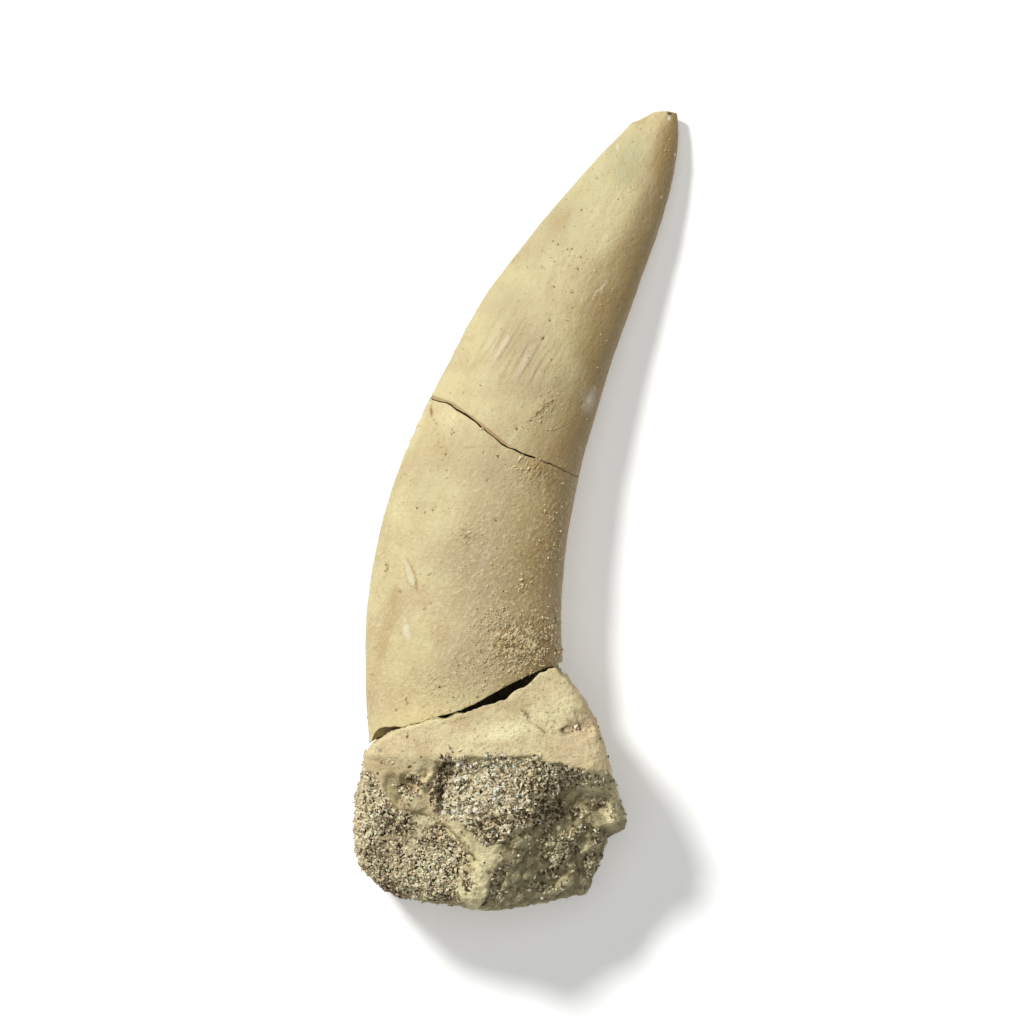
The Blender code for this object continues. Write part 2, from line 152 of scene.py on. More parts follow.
# Soft patches of the crown, one list for each mark: x, y, half width, half height, turn, strength.
CROWN_PATCHES = {
    "warm": [(3.4, 21.5, 0.9, 1.5, -25, 0.5), (3.9, -3.6, 1.1, 3.2, 0, 0.8),
             (-5.8, 4.6, 1.6, 1.2, 0, 0.35), (-9.3, -7.5, 0.9, 2.2, -10, 0.45),
             (11.6, 27.6, 0.7, 1.6, 15, 0.5), (1.7, 3.3, 1.5, 0.7, -25, 0.5),
             (-7.3, -11.5, 1.8, 1.6, 0, 0.25), (1.2, 0.0, 2.2, 4.0, -15, 0.5),
             (2.2, -10.0, 1.6, 3.0, 0, 0.6), (-4.5, -15.0, 3.0, 0.5, 20, 0.25),
             (-9.9, -10.4, 0.7, 1.6, -5, 0.5)],
    "dull": [(-0.8, -8.6, 3.4, 4.6, 0, 0.8), (-2.0, -3.0, 3.0, 5.0, -10, 0.6),
             (0.6, 3.0, 3.2, 3.4, -20, 0.5), (1.8, 9.0, 2.6, 2.4, -25, 0.55),
             (-4.0, -12.0, 4.0, 2.6, 15, 0.6), (9.9, 22.6, 0.9, 3.6, -22, 0.9),
             (-0.8, 12.4, 2.2, 2.4, -30, 0.35), (-5.0, -3.8, 1.8, 2.2, 0, 0.4),
             (1.8, 13.0, 1.8, 2.6, -30, 0.4), (-3.8, 3.8, 3.2, 2.0, -25, 0.35)],
    "grey": [(8.7, 26.4, 0.7, 1.8, -15, 0.9), (-0.4, -2.7, 1.8, 2.2, -20, 0.5),
             (3.2, 22.5, 3.2, 5.5, -35, 0.6), (8.0, 26.5, 2.4, 2.6, -30, 0.4),
             (-0.5, 15.5, 2.2, 2.6, -30, 0.4), (3.4, 9.8, 0.9, 2.2, -15, 0.4),
             (-1.2, 6.4, 1.2, 1.5, 0, 0.25), (-6.6, 1.5, 1.6, 2.8, -20, 0.35)],
    "pale": [(7.75, 27.2, 0.12, 0.5, 10, 0.4), (11.6, 29.45, 0.18, 0.22, 0, 0.7),
             (-8.15, -9.1, 0.35, 0.75, 12, 0.6),
             (5.6, 8.2, 0.55, 1.2, -15, 0.55), (-9.9, -14.2, 0.6, 2.0, 0, 0.25)],
    "scratch": [(-1.1, 12.3, 1.7, 2.0, -30, 1.0), (1.3, 10.8, 2.0, 2.0, -30, 0.8),
                (-5.0, 2.0, 2.0, 3.0, -20, 0.25), (3.0, 21.0, 3.0, 4.0, -30, 0.2)],
    "grit": [(-0.6, -9.8, 2.6, 1.9, 20, 0.8), (0.6, -10.0, 1.7, 1.3, 20, 0.9),
             (-3.9, -1.8, 0.8, 1.0, 0, 0.7), (1.6, 3.0, 1.5, 0.8, -20, 0.6),
             (-5.5, -13.4, 4.2, 1.9, 15, 0.4), (2.0, 7.5, 0.5, 1.2, -45, 0.8),
             (2.9, -1.6, 0.6, 2.4, 0, 0.4), (-5.6, 4.2, 1.5, 1.8, 0, 0.35)],
    "rust": [(1.9, 7.4, 0.25, 0.9, -45, 0.45), (-9.6, -4.3, 0.2, 0.4, 0, 0.5),
             (-6.28, 7.35, 0.11, 0.42, 5, 1.0)],
    "pink": [(-3.6, 7.0, 0.8, 0.5, -40, 0.4)],
}

# Hairlines of the crown, of its scratches and of the bone: x and y along each line.
HAIRLINES = {
    "crown": [[(-3.80, 4.66), (-2.60, 4.72), (-1.60, 4.60)]],
    "scratch": [[(6.90, 17.15), (6.42, 16.55), (6.05, 16.35), (5.88, 15.85)],
                [(6.55, 16.75), (6.45, 16.25)], [(7.75, 27.45), (7.65, 27.05)]],
    "bone": [[(0.75, -15.05), (1.00, -15.75), (1.55, -16.10), (2.25, -16.65)],
             [(0.55, -15.35), (1.10, -15.20)], [(0.45, -14.95), (1.15, -15.55)],
             [(-8.75, -20.9), (-8.6, -21.6), (-8.2, -22.2)],
             [(-1.75, -27.8), (-1.95, -28.9), (-2.65, -29.8)]],
}

# Crumbs stuck to the crown: x, y, half width, half height, turn and how thick they lie.  The last
# one is a dusting all over.
CROWN_CRUMBS = [
    (-0.7, -9.7, 2.5, 1.9, 20, 1.2), (0.7, -10.2, 1.7, 1.3, 20, 3.4),
    (-2.6, -8.4, 1.0, 0.8, 30, 1.2), (-5.8, -13.6, 3.6, 1.5, 12, 0.32),
    (2.8, -1.7, 0.45, 2.2, 0, 0.55), (1.5, 2.9, 1.5, 0.8, -25, 0.8),
    (2.2, 7.5, 0.6, 1.1, -35, 0.6), (-3.9, -1.8, 0.6, 0.8, 0, 0.7),
    (0.5, -5.7, 0.6, 0.8, 40, 0.7), (-5.4, 4.3, 1.2, 1.6, 0, 0.22),
    (4.7, 18.6, 0.5, 0.7, 0, 0.7),
    (0.0, 5.0, 40.0, 40.0, 0, 0.02),
]

# Base: the level that its heights count from, and the outline of the bone without the sand.
BASE_Z = 6.40
BONE_MIDDLE = (0.3, -20.6)
BONE_OUTLINE = [
    (-11.30, -18.50), (-11.30, -19.20), (-11.25, -20.80), (-11.20, -22.60), (-10.90, -24.60),
    (-9.90, -26.30), (-8.20, -27.40), (-6.60, -28.10), (-5.40, -28.70), (-4.90, -29.10),
    (-4.40, -29.50), (-3.90, -29.72), (-3.20, -29.90), (-2.40, -30.00), (-1.27, -30.04),
    (1.40, -29.56), (3.30, -29.20), (5.23, -28.80), (5.72, -28.15), (5.92, -27.25),
    (6.28, -26.35), (6.70, -25.25), (6.92, -24.66), (8.20, -23.92), (8.40, -23.35),
    (7.90, -21.80), (7.30, -20.15), (6.90, -18.55), (6.47, -17.15), (6.02, -15.80),
    (5.18, -14.30), (4.05, -12.80), (3.00, -11.82), (1.85, -12.14), (1.12, -12.84),
    (0.20, -13.42), (-0.80, -14.12), (-2.63, -14.68), (-3.75, -15.15), (-5.25, -15.66),
    (-6.38, -15.92), (-8.25, -16.45), (-9.00, -16.68), (-10.13, -17.50),
]
BREAK_PART = (31, 44)       # the points of that outline along the break, where the side is sheer
# How far that side stands out below its edge, at mid height: x and distance.  At the left its edge
# is also moved up to the crown, which it touches there.
BREAK_BULGE = np.array([(-9.0, 0.26), (-4.0, 0.35), (-1.8, 0.85), (-0.5, 1.00), (1.0, 0.95),
                        (2.0, 0.60), (3.0, 0.25), (4.2, 0.10)])
TOUCH_SHIFT = 0.15

# Outline of the sand's foot, which goes on under the bone.
FOOT_MIDDLE = (-10.0, -23.5)
FOOT_OUTLINE = [
    (-11.18, -18.75), (-11.30, -19.55), (-11.54, -20.65), (-11.90, -21.50), (-11.78, -22.30),
    (-12.00, -23.90), (-11.88, -25.40), (-11.46, -26.60), (-10.74, -27.50), (-9.76, -28.42),
    (-8.50, -28.94), (-5.70, -29.40), (-4.20, -29.56), (-2.40, -29.30), (-1.80, -27.80),
    (-1.30, -26.60), (-1.70, -25.20), (-2.90, -23.80), (-5.00, -22.60), (-6.30, -21.70),
    (-7.80, -21.60), (-8.90, -20.60), (-9.80, -19.60), (-10.60, -18.80),
]

# Where the sand of the foot meets the bone on the upper side: y, downwards, and x there.
SAND_LINE = np.array([(18.5, -11.6), (19.24, -11.25), (19.73, -10.69), (20.48, -10.31),
                      (21.04, -10.03), (21.6, -9.6), (22.3, -9.1), (22.55, -8.2), (22.75, -7.2),
                      (23.1, -6.2), (23.7, -5.0), (24.7, -4.25), (25.2, -3.65), (25.84, -3.1),
                      (26.4, -2.75), (26.65, -3.2), (26.9, -3.5), (27.3, -3.5), (27.75, -4.2),
                      (28.8, -4.2), (29.4, -3.6), (29.9, -3.2)])

# Outline of the middle patch, how far it stands above the bone and how far it goes into it.
PATCH_MIDDLE = (-1.6, -21.2)
PATCH_OUTLINE = [
    (-5.55, -18.35), (-5.95, -19.90), (-6.75, -21.00), (-6.80, -21.90), (-5.70, -22.75),
    (-4.60, -23.20), (-3.70, -23.70), (-3.05, -24.60), (-2.15, -25.10), (-1.10, -24.80),
    (0.40, -24.20), (1.60, -23.55), (2.65, -22.70), (3.35, -21.20), (3.60, -19.45),
    (2.30, -18.05), (0.40, -18.50), (-1.10, -18.10), (-2.60, -17.85), (-4.20, -18.05),
]
PATCH_RISE = 0.45
PATCH_DEPTH = 1.30

# Cells across each lump's sheets, and the powers of their side profiles, the highest the squarest.
BONE_CELLS, FOOT_CELLS, PATCH_CELLS = 216, 150, 120
BONE_SIDE, SAND_SIDE, SHEER_SIDE = 12.0, 4.0, 80.0
SIDE_REACH, SIDE_HEIGHT = 9.0, 5.0  # usual size of a lump, by which the profile's points are spaced
OUTLINE_POINTS = 1400

# Lumps of the base.  Each is the lowest of its faces, and each face is a place on it x, y, its
# height there, the way it falls in degrees from +X, and its slope.  Heights count up from BASE_Z
# on the upper side, and down from it on the underside.
TOP_LUMPS = {
    "collar": [(-3.0, -15.0, 4.80, 90, 0.50), (0.0, -17.5, 6.30, 0, 0.0),
               (-8.6, -17.6, 5.90, 175, 0.42), (4.4, -17.0, 6.15, 5, 0.10),
               (1.5, -19.3, 5.90, -94, 1.70)],
    "lobe": [(-8.0, -20.5, 5.62, 205, 0.25), (-6.5, -20.5, 5.30, 0, 1.60),
             (-7.6, -22.2, 5.20, -75, 0.80), (-8.0, -18.6, 6.30, 90, 0.90)],
    "body": [(-2.0, -21.0, 5.75, 0, 0.0), (-5.0, -24.5, 5.10, 222, 0.27),
             (1.5, -24.2, 5.20, -46, 0.80), (-1.1, -27.4, 4.95, -32, 0.72),
             (-3.0, -29.5, 4.50, -92, 1.50)],
    "spur": [(7.0, -22.6, 3.00, 150, 0.60), (7.5, -23.3, 2.70, -70, 0.90),
             (7.8, -22.4, 2.90, 15, 0.80), (7.0, -21.5, 2.90, 80, 0.80)],
}
UNDER_LUMPS = {
    "belly": [(-2.0, -21.0, 7.30, 0, 0.0), (-3.0, -14.5, 4.50, 90, 0.55),
              (-9.0, -22.0, 6.00, 180, 0.50), (4.5, -20.0, 5.80, 0, 0.60),
              (-2.0, -26.5, 6.30, -95, 0.55), (3.0, -25.5, 5.70, -42, 0.80)],
    "knuckle": [(2.5, -16.5, 6.10, 60, 0.60), (2.5, -16.5, 6.10, -60, 0.70),
                (2.5, -16.5, 6.10, 180, 0.50)],
}
CREASE_SHARPNESS = 3.2      # of the edges between faces, the higher the sharper

# Hollows of the upper side: x, y, half length, half width, turn in degrees and depth.
HOLLOWS = [
    (-9.15, -21.00, 1.4, 0.68, 96, 0.50), (-7.80, -20.60, 0.85, 0.75, 150, 0.70),
    (-5.20, -20.75, 2.3, 0.65, 80, 0.95), (4.00, -22.50, 1.8, 1.2, 80, 0.55),
    (2.60, -27.60, 1.4, 0.9, 20, 0.45), (5.20, -16.00, 1.2, 0.5, -60, 0.25),
    (-2.65, -28.20, 0.75, 1.9, 3, -0.35), (-3.75, -28.75, 1.35, 0.48, -54, -0.30),
    (-3.52, -27.95, 0.40, 0.62, 10, 0.50), (-1.24, -27.70, 0.48, 1.2, -12, 0.65),
    (-1.60, -26.00, 1.3, 1.1, 60, -0.25), (3.80, -27.90, 0.8, 0.5, 20, -0.30),
    (2.00, -28.20, 0.4, 0.45, 0, 0.40), (0.90, -26.00, 0.35, 0.3, 0, 0.25),
    (6.45, -22.40, 0.5, 0.45, 0, 0.45), (4.80, -25.00, 1.0, 0.6, 50, 0.35),
]

# Finer relief of the bone, written as the hollows are; a raised one has a depth below zero.
BONE_DETAILS = [
    (-3.75, -24.70, 2.1, 0.42, -54, -0.25), (-8.50, -21.30, 0.9, 0.12, 75, -0.15),
    (-6.45, -20.10, 0.85, 0.20, 57, -0.60), (-7.10, -20.40, 0.5, 0.16, -63, -0.45),
    (-7.60, -19.70, 0.8, 0.16, 5, -0.25), (-7.60, -21.75, 1.0, 0.42, -50, -0.30),
    (3.10, -22.60, 2.0, 1.0, 62, 0.45), (6.90, -22.00, 1.3, 0.35, -60, -0.30),
    (-0.60, -16.60, 2.6, 1.0, 15, -0.16), (7.30, -23.40, 1.2, 0.16, 20, -0.30),
    (4.80, -16.35, 1.2, 0.30, 10, 0.22), (0.40, -26.00, 0.35, 0.3, 0, 0.20),
    (-0.20, -28.40, 0.42, 0.36, 0, -0.26), (-0.20, -28.36, 0.20, 0.18, 0, 0.34),
    (1.50, -26.30, 0.3, 0.3, 0, 0.18), (-6.40, -17.80, 1.6, 0.6, 10, 0.14),
    (1.20, -24.50, 0.9, 0.35, 20, -0.30), (5.30, -24.20, 0.8, 0.35, 60, 0.25),
]

# Lower edge of the smooth collar: x and y.
COLLAR_EDGE = np.array([(-10.6, -23.0), (-9.0, -22.6), (-8.5, -19.6), (-7.0, -19.4),
                        (-6.3, -19.5), (-5.7, -18.8), (-4.9, -18.6), (-3.4, -18.45),
                        (0.4, -18.45), (2.2, -18.6), (3.4, -18.95), (4.9, -19.4), (6.8, -19.8)])

# Hollow in the bone's break under the crown: x and z of its middle, half its width and height, and
# its depth.
VOID_MIDDLE, VOID_HALF, VOID_DEPTH = (-0.8, 10.0), (4.2, 3.6), 1.1

# Soft patches of the bone, as those of the crown.  Some of them are painted light: dirt as painted
# shade in the crevice at the patch's left, in the sandy hole, on the smooth hollow's left wall and
# at the lower right that is turned from the light, pink as painted shade on that same left wall, and
# pale as painted light on the spur and at the collar's right end.
BONE_PATCHES = {
    "pale": [(-2.70, -28.1, 0.65, 1.8, 3, 1.1), (-3.75, -28.8, 1.3, 0.42, -54, 1.1),
             (-2.0, -17.95, 3.4, 0.35, 0, 0.5),
             (-3.7, -24.7, 2.1, 0.45, -54, 0.45), (7.25, -22.2, 0.55, 1.3, -12, 1.3),
             (5.8, -20.5, 1.1, 0.8, 0, 1.3), (3.4, -14.3, 1.2, 0.8, -35, 0.5),
             (-0.6, -16.6, 2.0, 0.7, 15, 1.15), (1.7, -14.9, 0.7, 0.7, 0, 0.4),
             (-4.6, -17.2, 2.0, 0.7, 15, 0.3),
             (2.7, -15.9, 0.9, 0.8, 0, 0.5), (-1.7, -25.9, 0.9, 1.2, -30, 0.7),
             (-6.45, -20.1, 0.8, 0.22, 57, 0.8), (-7.1, -20.4, 0.5, 0.18, -63, 0.7),
             (-7.65, -21.75, 1.0, 0.45, -50, 0.6), (-7.8, -19.65, 0.8, 0.2, 5, 0.7),
             (3.8, -27.9, 0.6, 0.4, 10, 0.5), (7.3, -23.4, 1.1, 0.12, 20, 0.8),
             (7.4, -23.8, 0.5, 0.35, 0, 0.35), (1.2, -24.4, 0.8, 0.3, 20, 0.45),
             (4.2, -14.4, 2.0, 1.2, -50, 0.3), (5.6, -18.2, 1.2, 1.2, 0, 0.3)],
    "pink": [(4.9, -17.2, 2.2, 2.6, -10, 0.9), (-1.3, -27.7, 0.4, 1.2, -10, 0.8),
             (-3.9, -16.5, 1.3, 0.6, 15, 0.6), (-6.2, -17.2, 0.8, 0.9, 0, 0.4),
             (2.6, -13.6, 2.4, 1.0, 25, 0.6), (-8.4, -17.6, 1.6, 0.9, 20, 0.55),
             (-9.80, -20.4, 0.22, 0.8, -10, 0.8), (-7.6, -19.75, 0.7, 0.2, 0, 0.5)],
    "grey": [(-9.05, -21.00, 0.55, 1.4, 5, 1.2), (6.7, -23.0, 0.7, 0.9, 30, 0.5),
             (2.4, -24.9, 1.6, 0.8, 30, 0.4), (-0.6, -25.6, 1.0, 1.2, -40, 0.5)],
    "dirt": [(4.85, -16.2, 1.3, 0.28, 10, 0.6), (3.9, -16.2, 0.6, 0.5, 40, 0.8),
             (6.4, -24.6, 0.8, 1.0, 0, 0.85),
             (3.2, -17.0, 1.2, 0.35, 40, 0.25), (-8.7, -18.0, 0.9, 0.3, 30, 0.15),
             (6.5, -17.3, 0.15, 0.6, 15, 0.6), (-5.3, -20.9, 0.45, 1.6, -10, 0.8),
             (-9.80, -20.6, 0.14, 0.7, -8, 0.45), (-6.9, -22.4, 0.8, 0.25, 25, 0.6),
             (2.6, -23.0, 1.2, 0.9, 20, 0.35), (-7.8, -20.6, 0.6, 0.6, 0, 0.7),
             (-8.45, -21.4, 0.10, 0.6, -15, 0.5), (-1.2, -27.9, 0.35, 1.0, -10, 0.8),
             (-3.5, -27.9, 0.25, 0.45, 0, 0.7), (5.1, -23.6, 0.5, 0.9, 30, 0.5),
             (3.6, -25.6, 0.9, 0.5, 40, 0.6), (5.4, -27.0, 0.6, 0.6, 0, 0.6),
             (2.0, -28.2, 0.5, 0.45, 10, 0.8), (-2.2, -29.4, 0.6, 0.15, 55, 0.8),
             (8.0, -22.6, 0.25, 0.9, 25, 0.6), (6.45, -22.4, 0.45, 0.4, 0, 0.8),
             (-0.2, -28.36, 0.2, 0.18, 0, 0.7), (-2.9, -26.6, 0.5, 0.10, -30, 0.3)],
}

# Thin crusts of sand on the bone, and a dusting over it, written as the crumbs are.
BONE_CRUSTS = [
    (5.0, -16.4, 0.8, 0.3, 10, 0.08),
    (5.2, -20.2, 1.7, 0.40, -8, 0.35), (3.9, -19.8, 0.8, 0.6, 0, 0.8),
    (6.4, -22.3, 0.6, 0.5, 0, 0.8), (3.3, -22.9, 1.2, 0.9, 40, 0.35),
    (3.7, -25.4, 1.3, 0.7, 50, 1.5), (5.5, -26.6, 0.6, 0.5, 0, 0.9),
    (2.3, -28.1, 0.9, 0.45, 10, 0.8), (-1.2, -27.9, 0.35, 1.0, -10, 1.6),
    (-7.8, -20.6, 0.55, 0.5, 0, 4.0), (-5.2, -20.9, 0.5, 1.4, -8, 2.5),
    (-6.9, -19.9, 0.16, 0.25, 0, 2.5), (-3.52, -27.9, 0.22, 0.42, 0, 3.5),
    (-5.4, -24.7, 1.8, 0.2, -42, 0.7),
]
BONE_DUSTING = (1.5, -23.0, 40.0, 3.0, 0, 0.02)

# Where bone shows through the foot's sand, written as the patches are.
BARE_SPOTS = [(-7.9, -24.9, 0.50, 0.80, 10, 1.5), (-7.1, -23.4, 0.50, 1.05, 15, 1.6),
              (-4.3, -24.3, 1.6, 0.45, -47, 1.5), (-6.2, -23.3, 0.4, 0.4, 0, 0.9)]

# Where the sand is drawn darker, written as the patches are: partly darker sand and partly painted
# shade, in the dark strip at the patch's left, along its lower edge and on sides turned from the
# light; a place with a strength below zero is drawn lighter, as painted light.
SAND_SHADES = [
    (-5.3, -19.6, 0.7, 1.5, -12, 1.2), (-6.2, -21.3, 0.6, 0.9, 0, 0.9),
    (-0.9, -23.2, 2.8, 0.45, 8, 1.0), (0.5, -22.9, 1.1, 0.6, 10, 0.8),
    (-2.6, -24.3, 0.9, 0.8, 0, 0.5), (2.6, -22.4, 0.8, 0.6, 0, 0.8),
    (1.6, -19.0, 1.1, 0.4, 10, 0.6), (1.5, -20.6, 1.5, 1.3, 0, 1.0),
    (-1.5, -21.4, 5.0, 3.0, 0, 0.12), (-3.6, -22.9, 0.8, 0.3, 0, -0.4),
    (-9.5, -28.4, 1.6, 0.6, -25, 0.6), (-9.1, -23.5, 0.9, 0.9, 0, 0.5),
    (-9.2, -25.3, 1.2, 0.9, 0, 0.35), (-5.0, -28.9, 1.4, 0.4, -8, 0.5),
    (-5.8, -25.0, 1.0, 0.8, 0, 0.25), (-1.3, -24.5, 1.5, 0.5, 10, 0.8),
    (-7.8, -20.8, 0.7, 0.7, 0, 0.45), (-6.2, -27.6, 2.2, 1.2, 0, -0.65),
    (-5.0, -25.8, 1.6, 1.0, 0, -0.70), (-10.8, -23.0, 0.9, 1.3, 0, -0.40),
]

# Larger grains placed one by one: x, y, radius and tone.
STONES = [
    (-10.1, -21.6, 0.26, 0.93), (-8.35, -23.05, 0.30, 0.97), (-8.6, -23.1, 0.2, 0.95),
    (-3.75, -22.95, 0.24, 0.95), (-3.3, -22.8, 0.18, 0.92), (-0.2, -28.4, 0.10, 0.95),
    (-2.48, 6.04, 0.19, 0.66), (-1.50, 5.29, 0.16, 0.6), (-1.20, 5.14, 0.19, 0.62),
    (-0.75, 4.69, 0.19, 0.7), (-1.28, 4.09, 0.22, 0.65), (0.45, 3.86, 0.21, 0.75),
    (0.66, 4.12, 0.18, 0.66), (0.98, 3.11, 0.18, 0.66), (4.55, -16.15, 0.20, 0.9),
    (5.15, -16.5, 0.15, 0.8), (-8.25, -28.6, 0.30, 0.12), (-7.1, -28.9, 0.26, 0.10),
    (0.55, -5.6, 0.15, 0.8),
]

# The crown's pieces, how many crumbs they carry, the crumbs' size as a share of the look's, and how
# many specks of dirt lie on them besides those in the placed pits.
CROWN_PIECES = ["tooth_tip_look", "tooth_shaft_look"]
CRUMB_COUNT, CRUMB_SHARE = 1900, 0.6
SMALL_PITS = 40

# Stage, in metres: half the floor's width, the lamps' sizes and distance, the key light's way.
FLOOR_HALF = 0.6
KEY_SIZE, OVERHEAD_SIZE, LAMP_DISTANCE = 0.16, 0.60, 0.8
KEY_TOWARD = (-0.48, 0.51, 0.71)
SKY_TONE, SKY_STRENGTH = (0.96, 0.98, 1.0), 0.11

# Turns the grid of the noise out of line with the object.
TILT = np.array([[0.36, 0.48, -0.80], [-0.80, 0.60, 0.0], [0.48, 0.64, 0.60]])


def hashed(whole, seed):
    """A steady number from 0 to 1 for each whole-numbered place, by mixing its bits."""
    x, y, z = (whole[..., axis].astype(np.int64) for axis in range(3))
    mixed = (x * 73856093 ^ y * 19349663 ^ z * 83492791 ^ seed * 40503) & 0xFFFFFFFF
    mixed = ((mixed ^ (mixed >> 15)) * 739982445) & 0xFFFFFFFF
    mixed = ((mixed ^ (mixed >> 12)) * 695872825) & 0xFFFFFFFF
    return (mixed ^ (mixed >> 15)) / 0xFFFFFFFF


def noise(places, size, seed):
    """Smooth noise from -1 to 1: steady numbers on a tilted grid of this size, eased between."""
    spot = places @ TILT / size
    cell = np.floor(spot).astype(np.int64)
    part = spot - cell
    ease = part ** 3 * (part * (part * 6 - 15) + 10)
    total = 0.0
    for corner in itertools.product((0, 1), repeat=3):
        near = np.prod(np.where(corner, ease, 1 - ease), axis=-1)
        total = total + near * hashed(cell + np.array(corner), seed)
    return total * 2 - 1


def rough(places, size, seed, layers=3):
    """Noise with finer noise on it, each layer half as large and half as high as the last."""
    return sum(noise(places, size / 2 ** layer, seed + layer) / 2 ** layer
               for layer in range(layers))


def rubble(places, size, seed):
    """Rounded lumps with sharp creases between them: sizes of noise without their signs."""
    return sum(np.abs(noise(places, size / 2 ** layer, seed + layer)) / 2 ** layer
               for layer in range(4))


def stir(places, size, amount, seed):
    """Move each place by noise along each of the three axes."""
    push = np.stack([rough(places, size, seed + 11 * axis, 2) for axis in range(3)], axis=-1)
    return places + amount * push


def specks(places, spacing, share, seed):
    """How far each place is from the nearest of some scattered points, and that point's number."""
    spot = places / spacing
    cell = np.floor(spot).astype(np.int64)
    nearest = np.full(places.shape[:-1], 9.0)
    number = np.zeros(places.shape[:-1])
    for step in itertools.product((-1, 0, 1), repeat=3):
        home = cell + np.array(step)
        point = home + np.stack([hashed(home, seed + part) for part in (1, 2, 3)], axis=-1)
        apart = np.linalg.norm(spot - point, axis=-1)
        closer = (apart < nearest) & (hashed(home, seed) < share)
        nearest = np.where(closer, apart, nearest)
        number = np.where(closer, hashed(home, seed + 4), number)
    return nearest * spacing, number


def step_up(value, low, high):
    """0 below low, 1 above high, and a smooth step between."""
    part = np.clip((value - low) / (high - low), 0.0, 1.0)
    return part * part * (3 - 2 * part)


def blot(places, centre, half_x, half_y, turn):
    """1 at the centre of a soft oval seen from above, falling to 0 outside it."""
    turn = math.radians(turn)
    x, y = places[..., 0] - centre[0], places[..., 1] - centre[1]
    along = (x * math.cos(turn) + y * math.sin(turn)) / half_x
    aside = (y * math.cos(turn) - x * math.sin(turn)) / half_y
    return np.exp(-along ** 2 - aside ** 2)


def flat_places(x, y, z=0.0):
    """Places at one height."""
    return np.stack([x, y, np.full_like(x, z)], axis=-1)


def patches(places, spots):
    """Sum of soft ovals seen from above, each with its own strength."""
    return sum(strength * blot(places, (x, y), half_x, half_y, turn)
               for x, y, half_x, half_y, turn, strength in spots)


def line_apart(places, line):
    """How far each place is from a line of straight runs, seen from above."""
    nearest = np.full(places.shape[:-1], 99.0)
    for start, end in zip(np.array(line[:-1]), np.array(line[1:])):
        run = end - start
        share = np.clip(((places[..., :2] - start) @ run) / (run @ run), 0.0, 1.0)
        apart = np.linalg.norm(places[..., :2] - start - share[..., None] * run, axis=-1)
        nearest = np.minimum(nearest, apart)
    return nearest


def hairlines(places, lines, width):
    """1 on thin wavering lines and 0 away from them."""
    shaken = stir(places, 0.5, 0.06, 91)
    apart = np.min([line_apart(shaken, line) for line in lines], axis=0)
    return step_up(apart, width, 0.3 * width)


def bite(places, centre, radius):
    """Push every place inside a ball out to its surface, which leaves a scoop."""
    away = places - centre
    apart = np.linalg.norm(away, axis=-1, keepdims=True)
    return np.where(apart < radius, centre + away * (radius / apart), places)


def through(rows, place):
    """Smooth curve through the rows: place 0 is the first row and 1 the last."""
    last = len(rows) - 1
    spot = np.clip(place, 0.0, 1.0) * last
    low = np.minimum(spot.astype(int), last - 1)
    part = (spot - low)[..., None]
    before, start = rows[np.maximum(low - 1, 0)], rows[low]
    end, after = rows[low + 1], rows[np.minimum(low + 2, last)]
    bend = 2 * before - 5 * start + 4 * end - after + part * (3 * (start - end) + after - before)
    return start + 0.5 * part * (end - before + part * bend)


def crown_point(place, turn):
    """The crown's surface: across is (1 - cos) / 2 from the left edge to the right one, and the
    rise is sin(turn) * (sin(turn / 2) ** 2 + blunt) ** (keel / 2), scaled to the section's half
    thickness."""
    rows = through(CROWN_SECTIONS, place)
    crest = math.acos(-CROWN_KEEL / (2 + CROWN_KEEL))
    peak = math.sin(crest) * (math.sin(crest / 2) ** 2 + CROWN_BLUNT) ** (CROWN_KEEL / 2)
    across = ((1 - np.cos(turn)) / 2)[..., None]
    rise = np.sin(turn) * (np.sin(turn / 2) ** 2 + CROWN_BLUNT) ** (CROWN_KEEL / 2) / peak
    flat = rows[..., 0:2] * (1 - across) + rows[..., 2:4] * across
    middle_y = (rows[..., 1] + rows[..., 3]) / 2
    start_y = (CROWN_SECTIONS[0, 1] + CROWN_SECTIONS[0, 3]) / 2
    axis_z = np.interp(middle_y, [start_y, CROWN_TIP[1]], CROWN_AXIS_Z)
    return np.concatenate([flat, (axis_z + rows[..., 4] * rise)[..., None]], axis=-1)


def meet_line(line, turn, shift):
    """Where along the crown each turn meets a line across it, found by halving."""
    low, high = np.zeros_like(turn), np.ones_like(turn)
    for _ in range(26):
        middle = (low + high) / 2
        point = crown_point(middle, turn)
        past = point[..., 1] > np.interp(point[..., 0], *line.T) + shift(point)
        low, high = np.where(past, low, middle), np.where(past, middle, high)
    return (low + high) / 2


def even_places(start, end, rows):
    """Rows of places from start to end, equally far apart along the crown's middle line."""
    table = np.linspace(0.0, 1.0, 400)
    middle = through(CROWN_SECTIONS, table)
    middle = (middle[:, 0:2] + middle[:, 2:4]) / 2
    length = np.concatenate([[0.0], np.cumsum(np.linalg.norm(np.diff(middle, axis=0), axis=1))])
    share = np.linspace(0.0, 1.0, rows)[:, None]
    first, last = np.interp(start, table, length), np.interp(end, table, length)
    return np.interp(first + (last - first) * share, length, table)


def all_turns():
    """Turns round the crown, closer together on the upper side."""
    return np.concatenate([np.linspace(0, math.pi, UPPER_TURNS, endpoint=False),
                           np.linspace(math.pi, 2 * math.pi, LOWER_TURNS, endpoint=False)])


def crack_shift(side):
    """Half the crack's open width at a point, up or down, with a fine jag that both sides share.
    It is open on the upper side alone, and below the surface it closes as share ** 16."""
    def shift(point, share=1.0):
        """How far this side of the crack lies above its line at a point."""
        jag = 0.07 * rough(point * (1, 0, 1), 0.9, 31)
        width = np.interp(point[..., 0], *CRACK_WIDTH.T) * step_up(point[..., 2], 3.3, 4.0)
        return side * np.maximum(width * share ** 16, 0.002) / 2 + jag
    return shift


